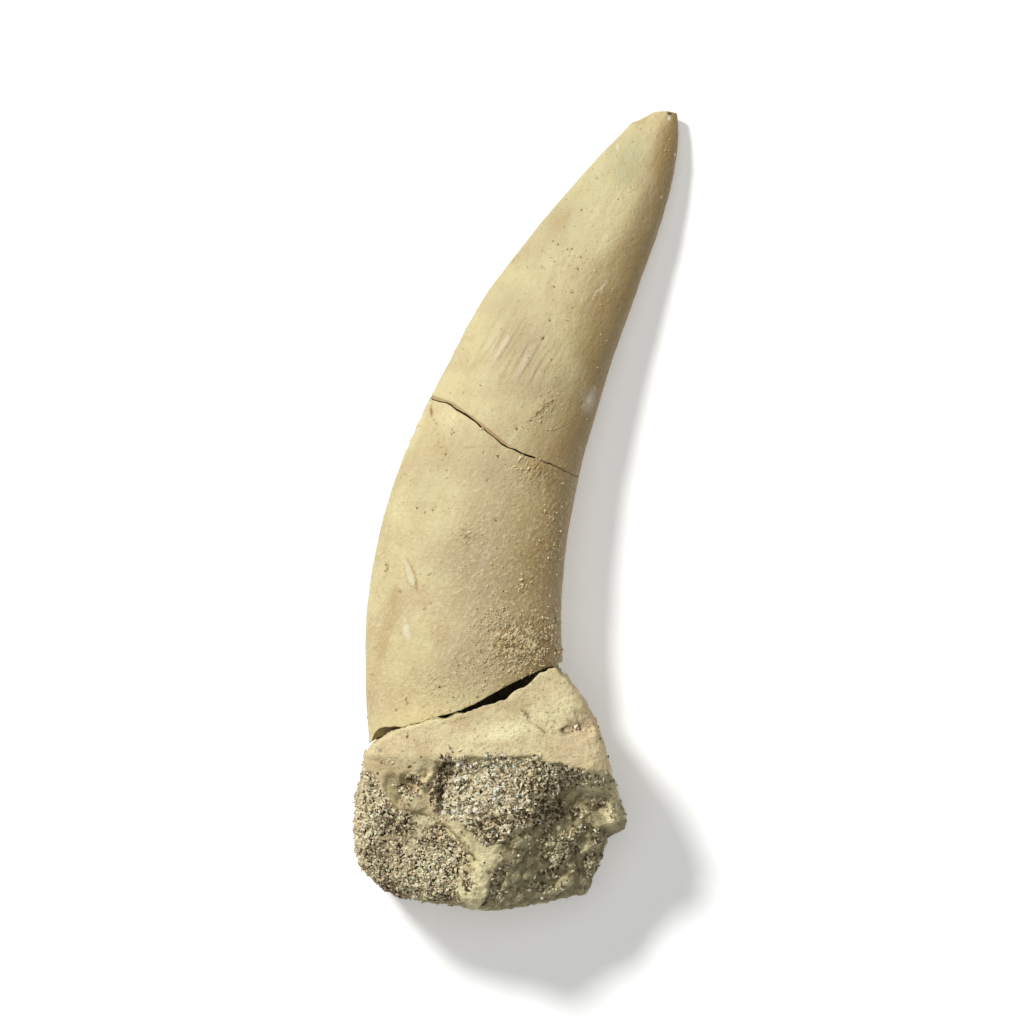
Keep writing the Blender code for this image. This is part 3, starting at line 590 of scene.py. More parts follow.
def break_face(ring, line, shift, shares):
    """Rings that shrink from a broken edge to its middle, on the break: y is the line's at x."""
    middle = ring.mean(axis=0)
    rings = middle + (ring - middle) * shares[:, None, None]
    rings[..., 1] = np.interp(rings[..., 0], *line.T) + shift(rings, shares[:, None])
    return rings


def ring_faces(rings, sides, flip):
    """Four-sided faces between neighbouring rings, closed round, with a fan at each end."""
    spot = np.arange(rings * sides).reshape(rings, sides)
    near, far = spot[:-1], spot[1:]
    quads = np.stack([near, np.roll(near, -1, 1), np.roll(far, -1, 1), far], -1).reshape(-1, 4)
    first, last = spot[0], spot[-1]
    start = np.stack([np.full(sides, rings * sides), np.roll(first, -1), first], -1)
    end = np.stack([np.full(sides, rings * sides + 1), last, np.roll(last, -1)], -1)
    faces = [quads, np.concatenate([start, end])]
    return [part[:, ::-1] for part in faces] if flip else faces


def grid_facing(rings):
    """The way each point of the rings faces: across the ways round and along the grid."""
    along = np.gradient(rings, axis=0)
    around = np.roll(rings, -1, 1) - np.roll(rings, 1, 1)
    facing = np.cross(around, along)
    return facing / np.maximum(np.linalg.norm(facing, axis=-1, keepdims=True), 1e-9)


def spot_at(points, facing, x, y):
    """The point of the upper side nearest to x, y, the way it faces and how far off it is."""
    apart = np.hypot(points[:, 0] - x, points[:, 1] - y) + 99.0 * (facing[:, 2] < 0.05)
    nearest = apart.argmin()
    return points[nearest], facing[nearest], apart[nearest]


def inside_box(points):
    """The points, with any outside the solids' box moved onto it."""
    low, high = (np.array(corner) / MM for corner in CAD_BOX)
    return np.clip(points, np.maximum(low, (-99, -99, 0)), high)


def put_mesh(name, points, faces, smooth=True, **marks):
    """Make a mesh object from arrays of points in millimetres, faces and marks for each point."""
    mesh = bpy.data.meshes.new(name)
    mesh.vertices.add(len(points))
    mesh.vertices.foreach_set("co", (points * MM).astype(np.float32).ravel())
    corners = np.concatenate([part.ravel() for part in faces])
    counts = np.concatenate([np.full(len(part), part.shape[1]) for part in faces])
    mesh.loops.add(len(corners))
    mesh.loops.foreach_set("vertex_index", corners.astype(np.int32))
    mesh.polygons.add(len(counts))
    starts = np.concatenate([[0], np.cumsum(counts)[:-1]])
    mesh.polygons.foreach_set("loop_start", starts.astype(np.int32))
    mesh.update(calc_edges=True)
    mesh.validate()
    mesh.polygons.foreach_set("use_smooth", np.full(len(counts), smooth))
    for mark, values in marks.items():
        layer = mesh.attributes.new(mark, "FLOAT", "POINT")
        layer.data.foreach_set("value", np.asarray(values, dtype=np.float32).ravel())
    piece = bpy.data.objects.new(name, mesh)
    bpy.context.scene.collection.objects.link(piece)
    return piece


def dress(piece, material, slot, *nodes):
    """Give a piece its finish, fix it to the body, and let it stand for its solids."""
    piece.data.materials.append(material)
    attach(piece, BODY)
    if nodes:
        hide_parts(*nodes)


def linear(code):
    """An sRGB hex colour as linear red, green and blue."""
    parts = [int(code[place:place + 2], 16) / 255 for place in (1, 3, 5)]
    return [part / 12.92 if part <= 0.04045 else ((part + 0.055) / 1.055) ** 2.4 for part in parts]


def add(tree, kind, inputs=None, out=0, **settings):
    """Add a node and give back one of its outputs.  Its inputs, by name or number, are sockets to
    link, numbers or colours, and the settings are its own properties."""
    made = tree.nodes.new(kind)
    for name, value in settings.items():
        setattr(made, name, value)
    for name, value in (inputs or {}).items():
        if isinstance(value, bpy.types.NodeSocket):
            tree.links.new(value, made.inputs[name])
        elif made.inputs[name].type == "RGBA":
            made.inputs[name].default_value = (*value, 1.0)
        else:
            made.inputs[name].default_value = value
    return made.outputs[out]


def new_finish(name, roughness, specular):
    """An empty Principled finish, with its tree, shader and object coordinates in millimetres."""
    material = bpy.data.materials.new(name)
    material.use_nodes = True
    tree = material.node_tree
    shader = tree.nodes["Principled BSDF"]
    shader.inputs["Roughness"].default_value = roughness
    shader.inputs["Specular IOR Level"].default_value = specular
    where = add(tree, "ShaderNodeTexCoord", out="Object")
    at = add(tree, "ShaderNodeMapping", {"Vector": where, "Scale": (1 / MM, 1 / MM, 1 / MM)})
    return material, tree, shader, at


def coats(tree, tone, layers):
    """Lay colours over a tone one by one.  Each covers by a value, or by a mark on the mesh, which
    rises from low to high up to a top share."""
    for colour, cover, low, high, top in layers:
        if isinstance(cover, str):
            cover = add(tree, "ShaderNodeAttribute", out="Fac", attribute_name=cover)
        share = add(tree, "ShaderNodeMapRange", {"Value": cover, "From Min": low, "From Max": high,
                                                 "To Max": top}, interpolation_type="SMOOTHSTEP")
        tone = add(tree, "ShaderNodeMix", {0: share, 6: tone, 7: colour}, 2, data_type="RGBA")
    return tone


def cover_with(tree, shader, tone, bumps):
    """Give a shader its colour, and bumps of so many millimetres stacked on one another."""
    tree.links.new(tone, shader.inputs["Base Color"])
    for height, reach in bumps:
        under = shader.inputs["Normal"].links
        inputs = {"Height": height, "Distance": reach * MM}
        if under:
            inputs["Normal"] = under[0].from_socket
        tree.links.new(add(tree, "ShaderNodeBump", inputs), shader.inputs["Normal"])


def fossil_dentine(look):
    """Fossil tooth, worn smooth: cream, with tan and grey-green mottles a few millimetres wide,
    faint streaks along the crown, browner on the round side, partly as stain and partly as painted
    shade on that side turned from the light, pink on the grit's ridges as painted highlight and
    brown in its gaps as painted shade, specked, with a silky gloss.  The streaks stand for fibres of
    the tooth, and are drawn coarser than real ones."""
    material, tree, shader, at = new_finish("fossil_dentine", 0.48, 0.35)
    drawn = add(tree, "ShaderNodeMapping", {"Vector": at, "Rotation": (0.0, 0.0, math.radians(70)),
                                            "Scale": (4.0, 1.0, 2.0)}, vector_type="TEXTURE")
    broad, cloud, streak, grain, dust = (
        add(tree, "ShaderNodeTexNoise", {"Vector": place, "Scale": per_mm, "Detail": detail,
                                         "Roughness": sharp})
        for place, per_mm, detail, sharp in ((at, 0.24, 4.0, 0.55), (at, 0.7, 5.0, 0.65),
                                             (drawn, 1.6, 4.0, 0.65), (at, 3.4, 4.0, 0.7),
                                             (at, 5.5, 2.0, 0.5)))
    dots = add(tree, "ShaderNodeTexVoronoi", {"Vector": at, "Scale": 1.5}, "Distance")
    slant = add(tree, "ShaderNodeMapping", {"Vector": at, "Rotation": (0.0, 0.0, math.radians(40)),
                                            "Scale": (1.6, 1.0, 1.0)}, vector_type="TEXTURE")
    grit, crumbs = (add(tree, "ShaderNodeTexNoise", {"Vector": slant, "Scale": per_mm,
                                                     "Detail": 2.0, "Roughness": 0.6})
                    for per_mm in (3.6, 4.4))
    gaps = add(tree, "ShaderNodeMath", {0: 1.0, 1: grit}, operation="SUBTRACT")
    where_gritty, where_flecked = (add(tree, "ShaderNodeAttribute", out="Fac", attribute_name=name)
                                   for name in ("grit", "flecked"))
    # The grit's gaps get painted shade in brown, and its raised ridges painted highlight in pink.
    gritty, grit_gap_shade, flecks = (
        add(tree, "ShaderNodeMath", {0: value, 1: where}, operation="MULTIPLY")
        for value, where in ((grit, where_gritty), (gaps, where_gritty), (crumbs, where_flecked)))
    tone = coats(tree, look.cream, [
        (look.tan, broad, 0.38, 0.66, 1.0), (look.grey, "grey", 0.0, 1.0, 0.9),
        (look.dull, "dull", 0.0, 1.0, 0.9), (look.warm, "warm", 0.0, 1.0, 0.9),
        # The brown mark is partly stain and partly painted shade on the round side.
        (look.brown, "brown", 0.0, 1.0, 0.9), (look.pink, "pink", 0.0, 1.0, 0.95),
        (look.warm, cloud, 0.50, 0.75, 0.16), (look.warm, streak, 0.50, 0.78, 0.30),
        (look.pale, streak, 0.50, 0.22, 0.14), (look.rust, "rust", 0.0, 1.0, 1.0),
        (look.pale, "pale", 0.10, 0.9, 0.95), (look.dirt, dust, 0.62, 0.72, 0.20),
        # Brown in the grit's gaps is painted shade, and pink on its ridges is painted highlight.
        (look.brown, grit_gap_shade, 0.38, 0.56, 0.8), (look.pink, gritty, 0.40, 0.52, 0.95),
        (look.dirt, dots, 0.16, 0.08, 0.30), (look.pink, flecks, 0.52, 0.66, 0.5),
        (look.dirt, "dirt", 0.0, 1.0, 1.0), (look.dirt, grain, 0.48, 0.20, 0.14)])
    cover_with(tree, shader, tone, [(streak, 0.05), (grain, 0.10), (flecks, 0.05), (gritty, 0.42)])
    return material


def fossil_bone(look):
    """Fossil bone, broken and porous: cream on the collar, pinkish at its right, olive and dull
    below it, dark in the pores, paler on the crests of the crumpled bone as painted highlight,
    darker in its crevices, creases and low places as painted shade, near black in the hollow under
    the crown as painted shade, with no gloss.  The pores are drawn coarser than the finest real
    ones."""
    material, tree, shader, at = new_finish("fossil_bone", 0.75, 0.25)
    drawn = add(tree, "ShaderNodeMapping", {"Vector": at, "Rotation": (0.0, 0.0, math.radians(50)),
                                            "Scale": (2.5, 1.0, 1.0)}, vector_type="TEXTURE")
    broad, fine, strands, pores, dust = (
        add(tree, "ShaderNodeTexNoise", {"Vector": place, "Scale": per_mm, "Detail": detail,
                                         "Roughness": sharp})
        for place, per_mm, detail, sharp in ((at, 0.45, 4.0, 0.6), (at, 1.5, 5.0, 0.7),
                                             (drawn, 2.0, 5.0, 0.75), (at, 3.2, 4.0, 0.7),
                                             (at, 4.2, 2.0, 0.5)))
    dots = add(tree, "ShaderNodeTexVoronoi", {"Vector": at, "Scale": 1.9}, "Distance")
    where_broken = add(tree, "ShaderNodeAttribute", out="Fac", attribute_name="olive")
    broken, flecks = (add(tree, "ShaderNodeMath", {0: value, 1: where_broken}, operation="MULTIPLY")
                      for value in (strands, pores))
    tone = coats(tree, look.bone, [
        (look.bone_tan, broad, 0.40, 0.62, 0.9), (look.pink, "pink", 0.0, 1.0, 0.85),
        (look.olive, "olive", 0.0, 1.0, 1.0), (look.grey, "grey", 0.0, 1.0, 0.9),
        # Dark olive in the low places of the crumpled bone is painted shade.
        (look.bone_tan, fine, 0.50, 0.70, 0.35), (look.olive_shade, "low", 0.0, 1.0, 0.9),
        # The pale mark is partly paler bone and partly painted highlight on crests, the spur and the
        # collar.
        (look.bright, "pale", 0.0, 1.0, 1.0), (look.bright, fine, 0.46, 0.25, 0.3),
        (look.bone, broken, 0.48, 0.64, 0.6), (look.dirt, flecks, 0.52, 0.64, 0.5),
        (look.bone_tan, pores, 0.52, 0.64, 0.65), (look.dirt, dust, 0.62, 0.70, 0.40),
        (look.dirt, dots, 0.20, 0.09, 0.42),
        (look.dirt, "dirt", 0.0, 1.0, 1.0), (look.dirt, pores, 0.44, 0.20, 0.25),
        # The hollow under the crown is drawn near black as painted shade.
        (look.void, "void", 0.0, 1.0, 1.0)])
    cover_with(tree, shader, tone, [(pores, 0.13), (fine, 0.12), (broken, 0.28), (flecks, 0.08)])
    return material


def sand_bed(look):
    """Silt and fine sand between the grains, drawn as chips a fifth of a millimetre wide that each
    lean their own way: light ones with dark gaps between them, which are painted shade, dull, and
    darker by the shade mark, which is partly darker sand and partly painted shade."""
    material, tree, shader, at = new_finish("sand_cement", 0.9, 0.2)
    fine = add(tree, "ShaderNodeTexNoise", {"Vector": at, "Scale": 2.5, "Detail": 3.0})
    stirred = add(tree, "ShaderNodeMix", {0: 0.12, 4: at, 5: add(
        tree, "ShaderNodeTexNoise", {"Vector": at, "Scale": 4.0}, "Color")}, 1, data_type="VECTOR")
    chip = {"Vector": stirred, "Scale": 4.6}
    apart = add(tree, "ShaderNodeTexVoronoi", chip, "Distance", feature="F1")
    own = add(tree, "ShaderNodeTexVoronoi", chip, "Color", feature="F1")
    middle = add(tree, "ShaderNodeTexVoronoi", chip, "Position", feature="F1")
    off_middle = add(tree, "ShaderNodeVectorMath", {0: stirred, 1: middle}, operation="SUBTRACT")
    lean = add(tree, "ShaderNodeVectorMath", {0: own, 1: (0.5, 0.5, 0.5)}, operation="SUBTRACT")
    tilt = add(tree, "ShaderNodeVectorMath", {0: off_middle, 1: lean}, "Value",
               operation="DOT_PRODUCT")
    tone = coats(tree, look.bed_light, [
        (look.grain_honey, add(tree, "ShaderNodeSeparateColor", {0: own}), 0.2, 0.9, 1.0),
        # Painted shade: dark cement by the shade mark and in the gaps between the chips.
        (look.bed_dark, "shade", 0.0, 1.0, 0.8), (look.bed_dark, apart, 0.26, 0.52, 0.97),
        (look.bed_dark, fine, 0.50, 0.68, 0.5), (look.bare, "bare", 0.1, 0.8, 0.95)])
    cover_with(tree, shader, tone, [(fine, 0.15), (tilt, 1.6)])
    return material


def sand_grain(look):
    """Worn sand grains, each with its own tone: brown, grey, pink-brown, honey, cream, white and
    a cool white."""
    material, tree, shader, _ = new_finish("sand_grains", 0.65, 0.25)
    tone = coats(tree, look.grain_brown, [
        (look.grain_dark, "tone", 0.0, 0.16, 1.0), (look.grain_grey, "tone", 0.14, 0.34, 1.0),
        (look.grain_pink, "tone", 0.34, 0.50, 1.0), (look.grain_honey, "tone", 0.50, 0.68, 1.0),
        (look.grain_cream, "tone", 0.68, 0.88, 1.0), (look.grain_white, "tone", 0.88, 1.0, 1.0),
        (look.grain_cool, "tone", 1.02, 1.12, 1.0)])
    cover_with(tree, shader, tone, [])
    return material


def deepen(marks, name, values):
    """Raise a mark to at least these values."""
    marks[name] = np.maximum(marks[name], values)


def crown_marks(points, above):
    """The marks of the crown's colours at these points, of which those of patches only show on the
    upper side."""
    marks = {name: np.clip(patches(points, spots), 0, 1) * above
             for name, spots in CROWN_PATCHES.items()}
    right = np.interp(points[:, 1], CROWN_SECTIONS[:, 3], CROWN_SECTIONS[:, 2])
    left = np.interp(points[:, 1], CROWN_SECTIONS[:, 1], CROWN_SECTIONS[:, 0])
    across = (points[:, 0] - left) / np.maximum(right - left, 0.5)
    marks["flecked"] = 0.15 + 0.85 * step_up(14 - points[:, 1], 0.0, 14.0)
    # Brown on the round right side is partly stain and partly painted shade on the side turned from
    # the light; half of it lies on the underside.
    marks["brown"] = np.maximum(step_up(across + 0.10 * rough(points, 4.0, 41), 0.52, 1.0),
                                0.5 * (1 - above))
    return marks


def wear_crack_edge(points, facing, marks, soil):
    """Wear the edge above the crack back a little, most at the left, and stain it."""
    over_crack = points[:, 1] - np.interp(points[:, 0], *CRACK.T)
    worn = (step_up(0.24 - np.abs(over_crack - 0.12), 0.0, 0.10)
            * step_up(-points[:, 0], -0.8, 1.0) * (soil == 0))
    deepen(marks, "rust", 0.6 * worn)
    return points - facing * (0.06 * worn)[:, None]


def carve_chips(points, facing, marks, chips):
    """Scoop out each chip with a ball that cuts in by its depth, so the ball's radius is
    (half ** 2 + depth ** 2) / (2 * depth), and mark its fresh face."""
    for x, y, half, depth, name, strength in chips:
        spot, way, _ = spot_at(points, facing, x, y)
        radius = (half ** 2 + depth ** 2) / (2 * depth)
        share = step_up(np.linalg.norm(points - spot, axis=1) / half, 1.1, 0.6)
        points = bite(points, spot + way * (radius - depth), radius)
        for kept in ("grit", "scratch", "dull"):
            marks[kept] = marks[kept] * (1 - 0.85 * share)
        deepen(marks, name, strength * share)
    return points


def pit_depth(points, facing):
    """Depth of the pits, depth * exp(-(apart / radius) ** 2): the placed ones, then scattered
    smaller ones."""
    dents = 0.0
    for x, y, radius in PITS:
        spot, _, apart = spot_at(points, facing, x, y)
        if apart < 0.3:
            dents = dents + 0.08 * np.exp(-(np.linalg.norm(points - spot, axis=1) / radius) ** 2)
    gap, number = specks(points, 0.9, 0.22, 71)
    return dents + 0.06 * np.exp(-(gap / (0.06 + 0.07 * number)) ** 2)


def scratch_noise(points):
    """Noise drawn out along the slant of the scratches, 3 mm long and 0.2 mm wide."""
    along = points[:, 0] * math.cos(SCRATCH_SLANT) + points[:, 1] * math.sin(SCRATCH_SLANT)
    aside = points[:, 1] * math.cos(SCRATCH_SLANT) - points[:, 0] * math.sin(SCRATCH_SLANT)
    return noise(flat_places(aside / 0.20, along / 3.0), 1.0, 77)


def flake_height(points, above, marks):
    """Height of the flakes, ragged ovals, which are pale on top, with a painted shadow in rust along
    their right edge.
    """
    rise = 0.0
    for x, y, half, length, lean, height in FLAKES:
        aside = (points[:, 0] - x + lean * (points[:, 1] - y)) / half
        share = 1 - aside ** 2 - ((points[:, 1] - y) / length) ** 2
        share = np.where(above > 0.5, share + 0.3 * noise(points, 0.5, 15), -1)
        rise = rise + height * step_up(share, 0.0, 0.35)
        deepen(marks, "pale", 0.40 * step_up(share, 0.0, 0.4))
        # Painted shadow: rust along each flake's right edge, where its shadow falls.
        edge = step_up(share, -1.2, -0.3) * step_up(share, 0.4, -0.1) * step_up(aside, 0.0, 0.6)
        deepen(marks, "rust", 5 * height * edge)
    return rise


def finish_crown(node, rings, ends, soil, flip, chips):
    """Carve, roughen and mark the rings of a crown fragment, and make its mesh.  Noise along the
    way that the surface faces makes it uneven: worm-like ridges on the gritty places, and long
    grooves on the scratched ones.  The rings of a fragment to flip run away from the tip."""
    facing = grid_facing(rings) * (-1 if flip else 1)
    facing = np.concatenate([facing.reshape(-1, 3), facing[[0, -1]].mean(axis=1)])
    points = np.concatenate([rings.reshape(-1, 3), ends])
    soil = np.concatenate([np.repeat(soil, rings.shape[1]), soil[[0, -1]]])
    above = step_up(facing[:, 2], 0.0, 0.2)
    marks = crown_marks(points, above)
    marks["dirt"] = soil * 0.9
    if node == "tooth_tip":
        points = wear_crack_edge(points, facing, marks, soil)
    deepen(marks, "pale", 0.45 * above * hairlines(points, HAIRLINES["scratch"], 0.12))
    deepen(marks, "dirt", 0.3 * above * hairlines(points, HAIRLINES["crown"], 0.10))
    points = carve_chips(points, facing, marks, chips)
    grit = marks["grit"] * step_up(noise(points, 0.8, 51), -0.6, 0.3)
    worms = step_up(1 - 3.2 * np.abs(noise(stir(points, 0.5, 0.15, 21), 0.30, 19)), -0.2, 1.0)
    scratched, groove = marks["scratch"] * above, scratch_noise(points)
    deepen(marks, "pale", 0.40 * scratched * step_up(-groove, 0.0, 0.4))
    swell = (0.030 * rough(points, 2.4, 3) + 0.013 * rough(points, 0.6, 17)
             + 0.09 * grit * worms - pit_depth(points, facing)
             - (0.006 + 0.075 * scratched) * step_up(groove, -0.1, 0.6)
             + flake_height(points, above, marks))
    points = points + facing * swell[:, None]
    faces = ring_faces(len(rings), rings.shape[1], flip)
    piece = put_mesh(node + "_look", inside_box(points), faces, **marks)
    dress(piece, bpy.data.materials["fossil_dentine"], "tooth", node)


def build_tip():
    """The upper fragment: its broken face, then its surface from the crack to the tip."""
    turn, shift = all_turns(), crack_shift(1)
    start = meet_line(CRACK, turn, shift)
    skin = crown_point(even_places(start, np.ones_like(turn), TIP_ROWS), turn[None, :])
    cap = break_face(skin[0], CRACK, shift, np.linspace(*CAP_SHARES, TIP_CAP_ROWS))
    ends = np.stack([cap[0].mean(axis=0), (*CROWN_TIP, CROWN_AXIS_Z[1])])
    soil = np.repeat([1.0, 0.0], [TIP_CAP_ROWS, TIP_ROWS])
    finish_crown("tooth_tip", np.concatenate([cap, skin]), ends, soil, False, TIP_CHIPS)


def shaft_break_shift(point, share=1.0):
    """How far the shaft's broken edge lies above its line: a jag, and its upper wall's notch."""
    notch = np.interp(point[..., 0], *ARCH.T) * step_up(point[..., 2], 6.3, 6.6)
    return (0.06 * rough(point * (1, 0, 1), 0.8, 57) + notch) * step_up(share, 0.0, 0.6)


def build_shaft():
    """The lower fragment: from its cracked face down to the break, then the wall and the cavity.
    The cavity rises CAVITY_DEPTH * sqrt(1 - share ** 2) above the break."""
    turn, upper, lower = all_turns(), crack_shift(-1), shaft_break_shift
    start, end = meet_line(CRACK, turn, upper), meet_line(SHAFT_BREAK, turn, lower)
    skin = crown_point(even_places(start, end, SHAFT_ROWS), turn[None, :])
    cap = break_face(skin[0], CRACK, upper, np.linspace(*CAP_SHARES, SHAFT_CAP_ROWS))
    wall = break_face(skin[-1], SHAFT_BREAK, lower,
                      np.linspace(CAP_SHARES[1], WALL_SHARE, WALL_ROWS))
    share = np.cos(np.linspace(0.0, 0.48 * math.pi, CAVITY_ROWS + 1))[1:]
    inner = break_face(skin[-1], SHAFT_BREAK, lower, WALL_SHARE * share)
    inner[..., 1] += CAVITY_DEPTH * np.sqrt(1 - share ** 2)[:, None]
    rings = np.concatenate([cap, skin, wall, inner])
    ends = np.stack([cap[0].mean(axis=0), inner[-1].mean(axis=0)])
    soil = np.repeat([1.0, 0.0, 0.6, 0.95],
                     [SHAFT_CAP_ROWS, SHAFT_ROWS, WALL_ROWS, CAVITY_ROWS])
    finish_crown("tooth_shaft", rings, ends, soil, True, SHAFT_CHIPS)


def lump_height(x, y, faces):
    """Height of a lump: the lowest of its faces, with the edges between them eased, as
    -log(sum of exp(sharpness * -height)) / sharpness."""
    below = 0.0
    for at_x, at_y, height, falls, slope in faces:
        falls = math.radians(falls)
        along = (x - at_x) * math.cos(falls) + (y - at_y) * math.sin(falls)
        below = below + np.exp(CREASE_SHARPNESS * (slope * along - height))
    return -np.log(below) / CREASE_SHARPNESS


def highest(x, y, lumps):
    """Height of the highest lump, with the creases between lumps eased in the same way."""
    above = sum(np.exp(CREASE_SHARPNESS * lump_height(x, y, faces)) for faces in lumps.values())
    return np.log(above) / CREASE_SHARPNESS


def base_top(x, y):
    """Height of the base's upper side: the lumps, less the hollows and the finer relief, and less a
    ledge under the collar that fades further down."""
    flat = flat_places(x, y)
    jag = 0.20 * rough(flat, 1.0, 87)
    below = np.interp(x, *COLLAR_EDGE.T) + jag - y
    ledge = 0.38 * step_up(below, -0.08, 0.28) * (1 - 0.8 * step_up(below, 0.6, 3.2))
    ledge = ledge * step_up(x, 6.5, 3.0)
    hollows = sum(depth * step_up(blot(flat, (at_x, at_y), half_x, half_y, turn), 0.22, 0.72)
                  for at_x, at_y, half_x, half_y, turn, depth in HOLLOWS)
    return BASE_Z + highest(x, y, TOP_LUMPS) - hollows - patches(flat, BONE_DETAILS) - ledge


def sand_side(x, y):
    """How far a place lies to the bone's side of the foot's visible edge; below zero is sand."""
    slope = (np.interp(0.1 - y, *SAND_LINE.T) - np.interp(-0.1 - y, *SAND_LINE.T)) / 0.2
    apart = (x - np.interp(-y, *SAND_LINE.T)) / np.sqrt(1 + slope ** 2)
    return apart + 0.15 * rough(flat_places(x, y), 0.9, 37)


def base_under(x, y):
    """Height of the base's underside, cut off flat at the ground."""
    return np.maximum(BASE_Z - highest(x, y, UNDER_LUMPS), 0.0)


def disc_grid(cells):
    """A square grid bent to a disc: share is the larger of |a| and |b|, and the angle runs evenly
    along each square ring."""
    line = np.linspace(-1.0, 1.0, cells + 1)
    a, b = np.meshgrid(line, line, indexing="ij")
    share = np.maximum(np.abs(a), np.abs(b))
    safe = np.maximum(share, 1e-9)
    side = np.where(np.abs(a) >= np.abs(b), b / safe * np.sign(a), -a / safe * np.sign(b))
    start = np.where(np.abs(a) >= np.abs(b), np.where(a > 0, 0.0, math.pi),
                     np.where(b > 0, math.pi / 2, -math.pi / 2))
    return share, start + side * math.pi / 4


def side_profile(share, power):
    """Ways out and up along a side of the form out ** power + up ** power = 1, evenly spaced."""
    out = np.sin(np.linspace(0.0, math.pi / 2, 900)) ** 0.5
    up = np.clip(1 - out ** power, 0.0, 1.0) ** (1 / power)
    length = np.cumsum(np.hypot(np.diff(out, prepend=0) * SIDE_REACH,
                                np.diff(up, prepend=1) * SIDE_HEIGHT))
    length = length / length[-1]
    return np.interp(share, length, out), np.interp(share, length, up)


def break_stand(x, up):
    """How far the bone's broken side stands out past its outline: by BREAK_BULGE * (1 - up) ** 3
    below its edge, with a jag, and more at the left, where it touches the crown."""
    jag = rough(flat_places(x, 0 * x), 0.7, 33)
    return (np.interp(x, *BREAK_BULGE.T) * (1 - up) ** 3 + 0.09 * jag
            + TOUCH_SHIFT * step_up(x, -4.4, -5.8))


def shell_points(cells, outline, middle, top, under, power, sheer=None):
    """Upper and lower sheet of a closed lump.  Each runs from the middle to the outline, out by the
    share of a side profile, and its height is rim + up * (surface - rim), the rim lying halfway.
    From one of the outline's points to another the side may be sheer, eased in over a few."""
    away = np.array(outline) - np.array(middle)
    fine = np.linspace(0, len(outline), OUTLINE_POINTS, endpoint=False)
    low, part = fine.astype(int), (fine % 1)[:, None]
    dense = away[low] * (1 - part) + away[(low + 1) % len(outline)] * part
    angle = np.arctan2(dense[:, 1], dense[:, 0]) % (2 * math.pi)
    order = np.argsort(angle)
    share, turn = disc_grid(cells)
    turn = turn % (2 * math.pi)

    def around(values):
        """Values of the outline's points at every turn of the grid."""
        return np.interp(turn, angle[order], values[order], period=2 * math.pi)
    radius = around(np.linalg.norm(dense, axis=1))
    out, up = side_profile(share, power)
    if sheer is not None:
        steep = around(step_up(fine, sheer[0] - 2.5, sheer[0] + 1.0)
                       * step_up(fine, sheer[1] + 0.5, sheer[1] - 1.0))
        sheer_out, sheer_up = side_profile(share, SHEER_SIDE)
        out, up = out + steep * (sheer_out - out), up + steep * (sheer_up - up)
        radius = radius + steep * break_stand(middle[0] + radius * np.cos(turn), up)
    heading = np.stack([np.cos(turn), np.sin(turn)], axis=-1)
    x, y = np.moveaxis(np.array(middle) + heading * (out * radius)[..., None], -1, 0)
    rim_x, rim_y = np.moveaxis(np.array(middle) + heading * radius[..., None], -1, 0)
    rim = (top(rim_x, rim_y) + under(rim_x, rim_y)) / 2
    sheets = [np.stack([x, y, rim + up * (side(x, y) - rim)], axis=-1) for side in (top, under)]
    return np.stack(sheets), up


def sheet_facing(sheets):
    """The way each point of an upper and a lower sheet faces: across the grid's two ways."""
    facing = np.cross(np.gradient(sheets, axis=1), np.gradient(sheets, axis=2))
    facing[1] = -facing[1]
    return facing / np.maximum(np.linalg.norm(facing, axis=-1, keepdims=True), 1e-9)


def shell_faces(cells):
    """Faces of both sheets, which share the points of their rim."""
    size = cells + 1
    top = np.arange(size * size).reshape(size, size)
    under = top + size * size
    for edge in (np.s_[0, :], np.s_[-1, :], np.s_[:, 0], np.s_[:, -1]):
        under[edge] = top[edge]
    faces = []
    for sheet, flip in ((top, False), (under, True)):
        quads = np.stack([sheet[:-1, :-1], sheet[1:, :-1], sheet[1:, 1:], sheet[:-1, 1:]], -1)
        faces.append(quads.reshape(-1, 4)[:, ::-1] if flip else quads.reshape(-1, 4))
    return np.concatenate(faces)


def sand_clumps(places):
    """Clumps of the sand that is stuck to the bone, from 0 to 1."""
    return step_up(noise(places, 0.6, 61), -0.6, 0.2)


def put_shell(name, points, faces, material, slot, node, marks):
    """Make a closed lump's mesh, without the points that no face uses."""
    used = np.unique(faces)
    renumber = np.zeros(len(points), dtype=np.int64)
    renumber[used] = np.arange(len(used))
    points = inside_box(points[used])
    marks = {mark: values[used] for mark, values in marks.items()}
    piece = put_mesh(name, points, [renumber[faces]], **marks)
    dress(piece, material, slot, node)


def bone_top(x, y):
    """Height of the bone's upper side: the base's with noise on it, strongest on the facets at the
    lower right, less 0.6 mm where the foot's sand lies on it."""
    facet = step_up(x - y - 22.0, 0.0, 3.0)
    sunk = 0.6 * step_up(sand_side(x, y), 0.12, -0.22)
    return base_top(x, y) + (0.05 + 0.16 * facet) * rough(flat_places(x, y), 1.5, 13, 4) - sunk


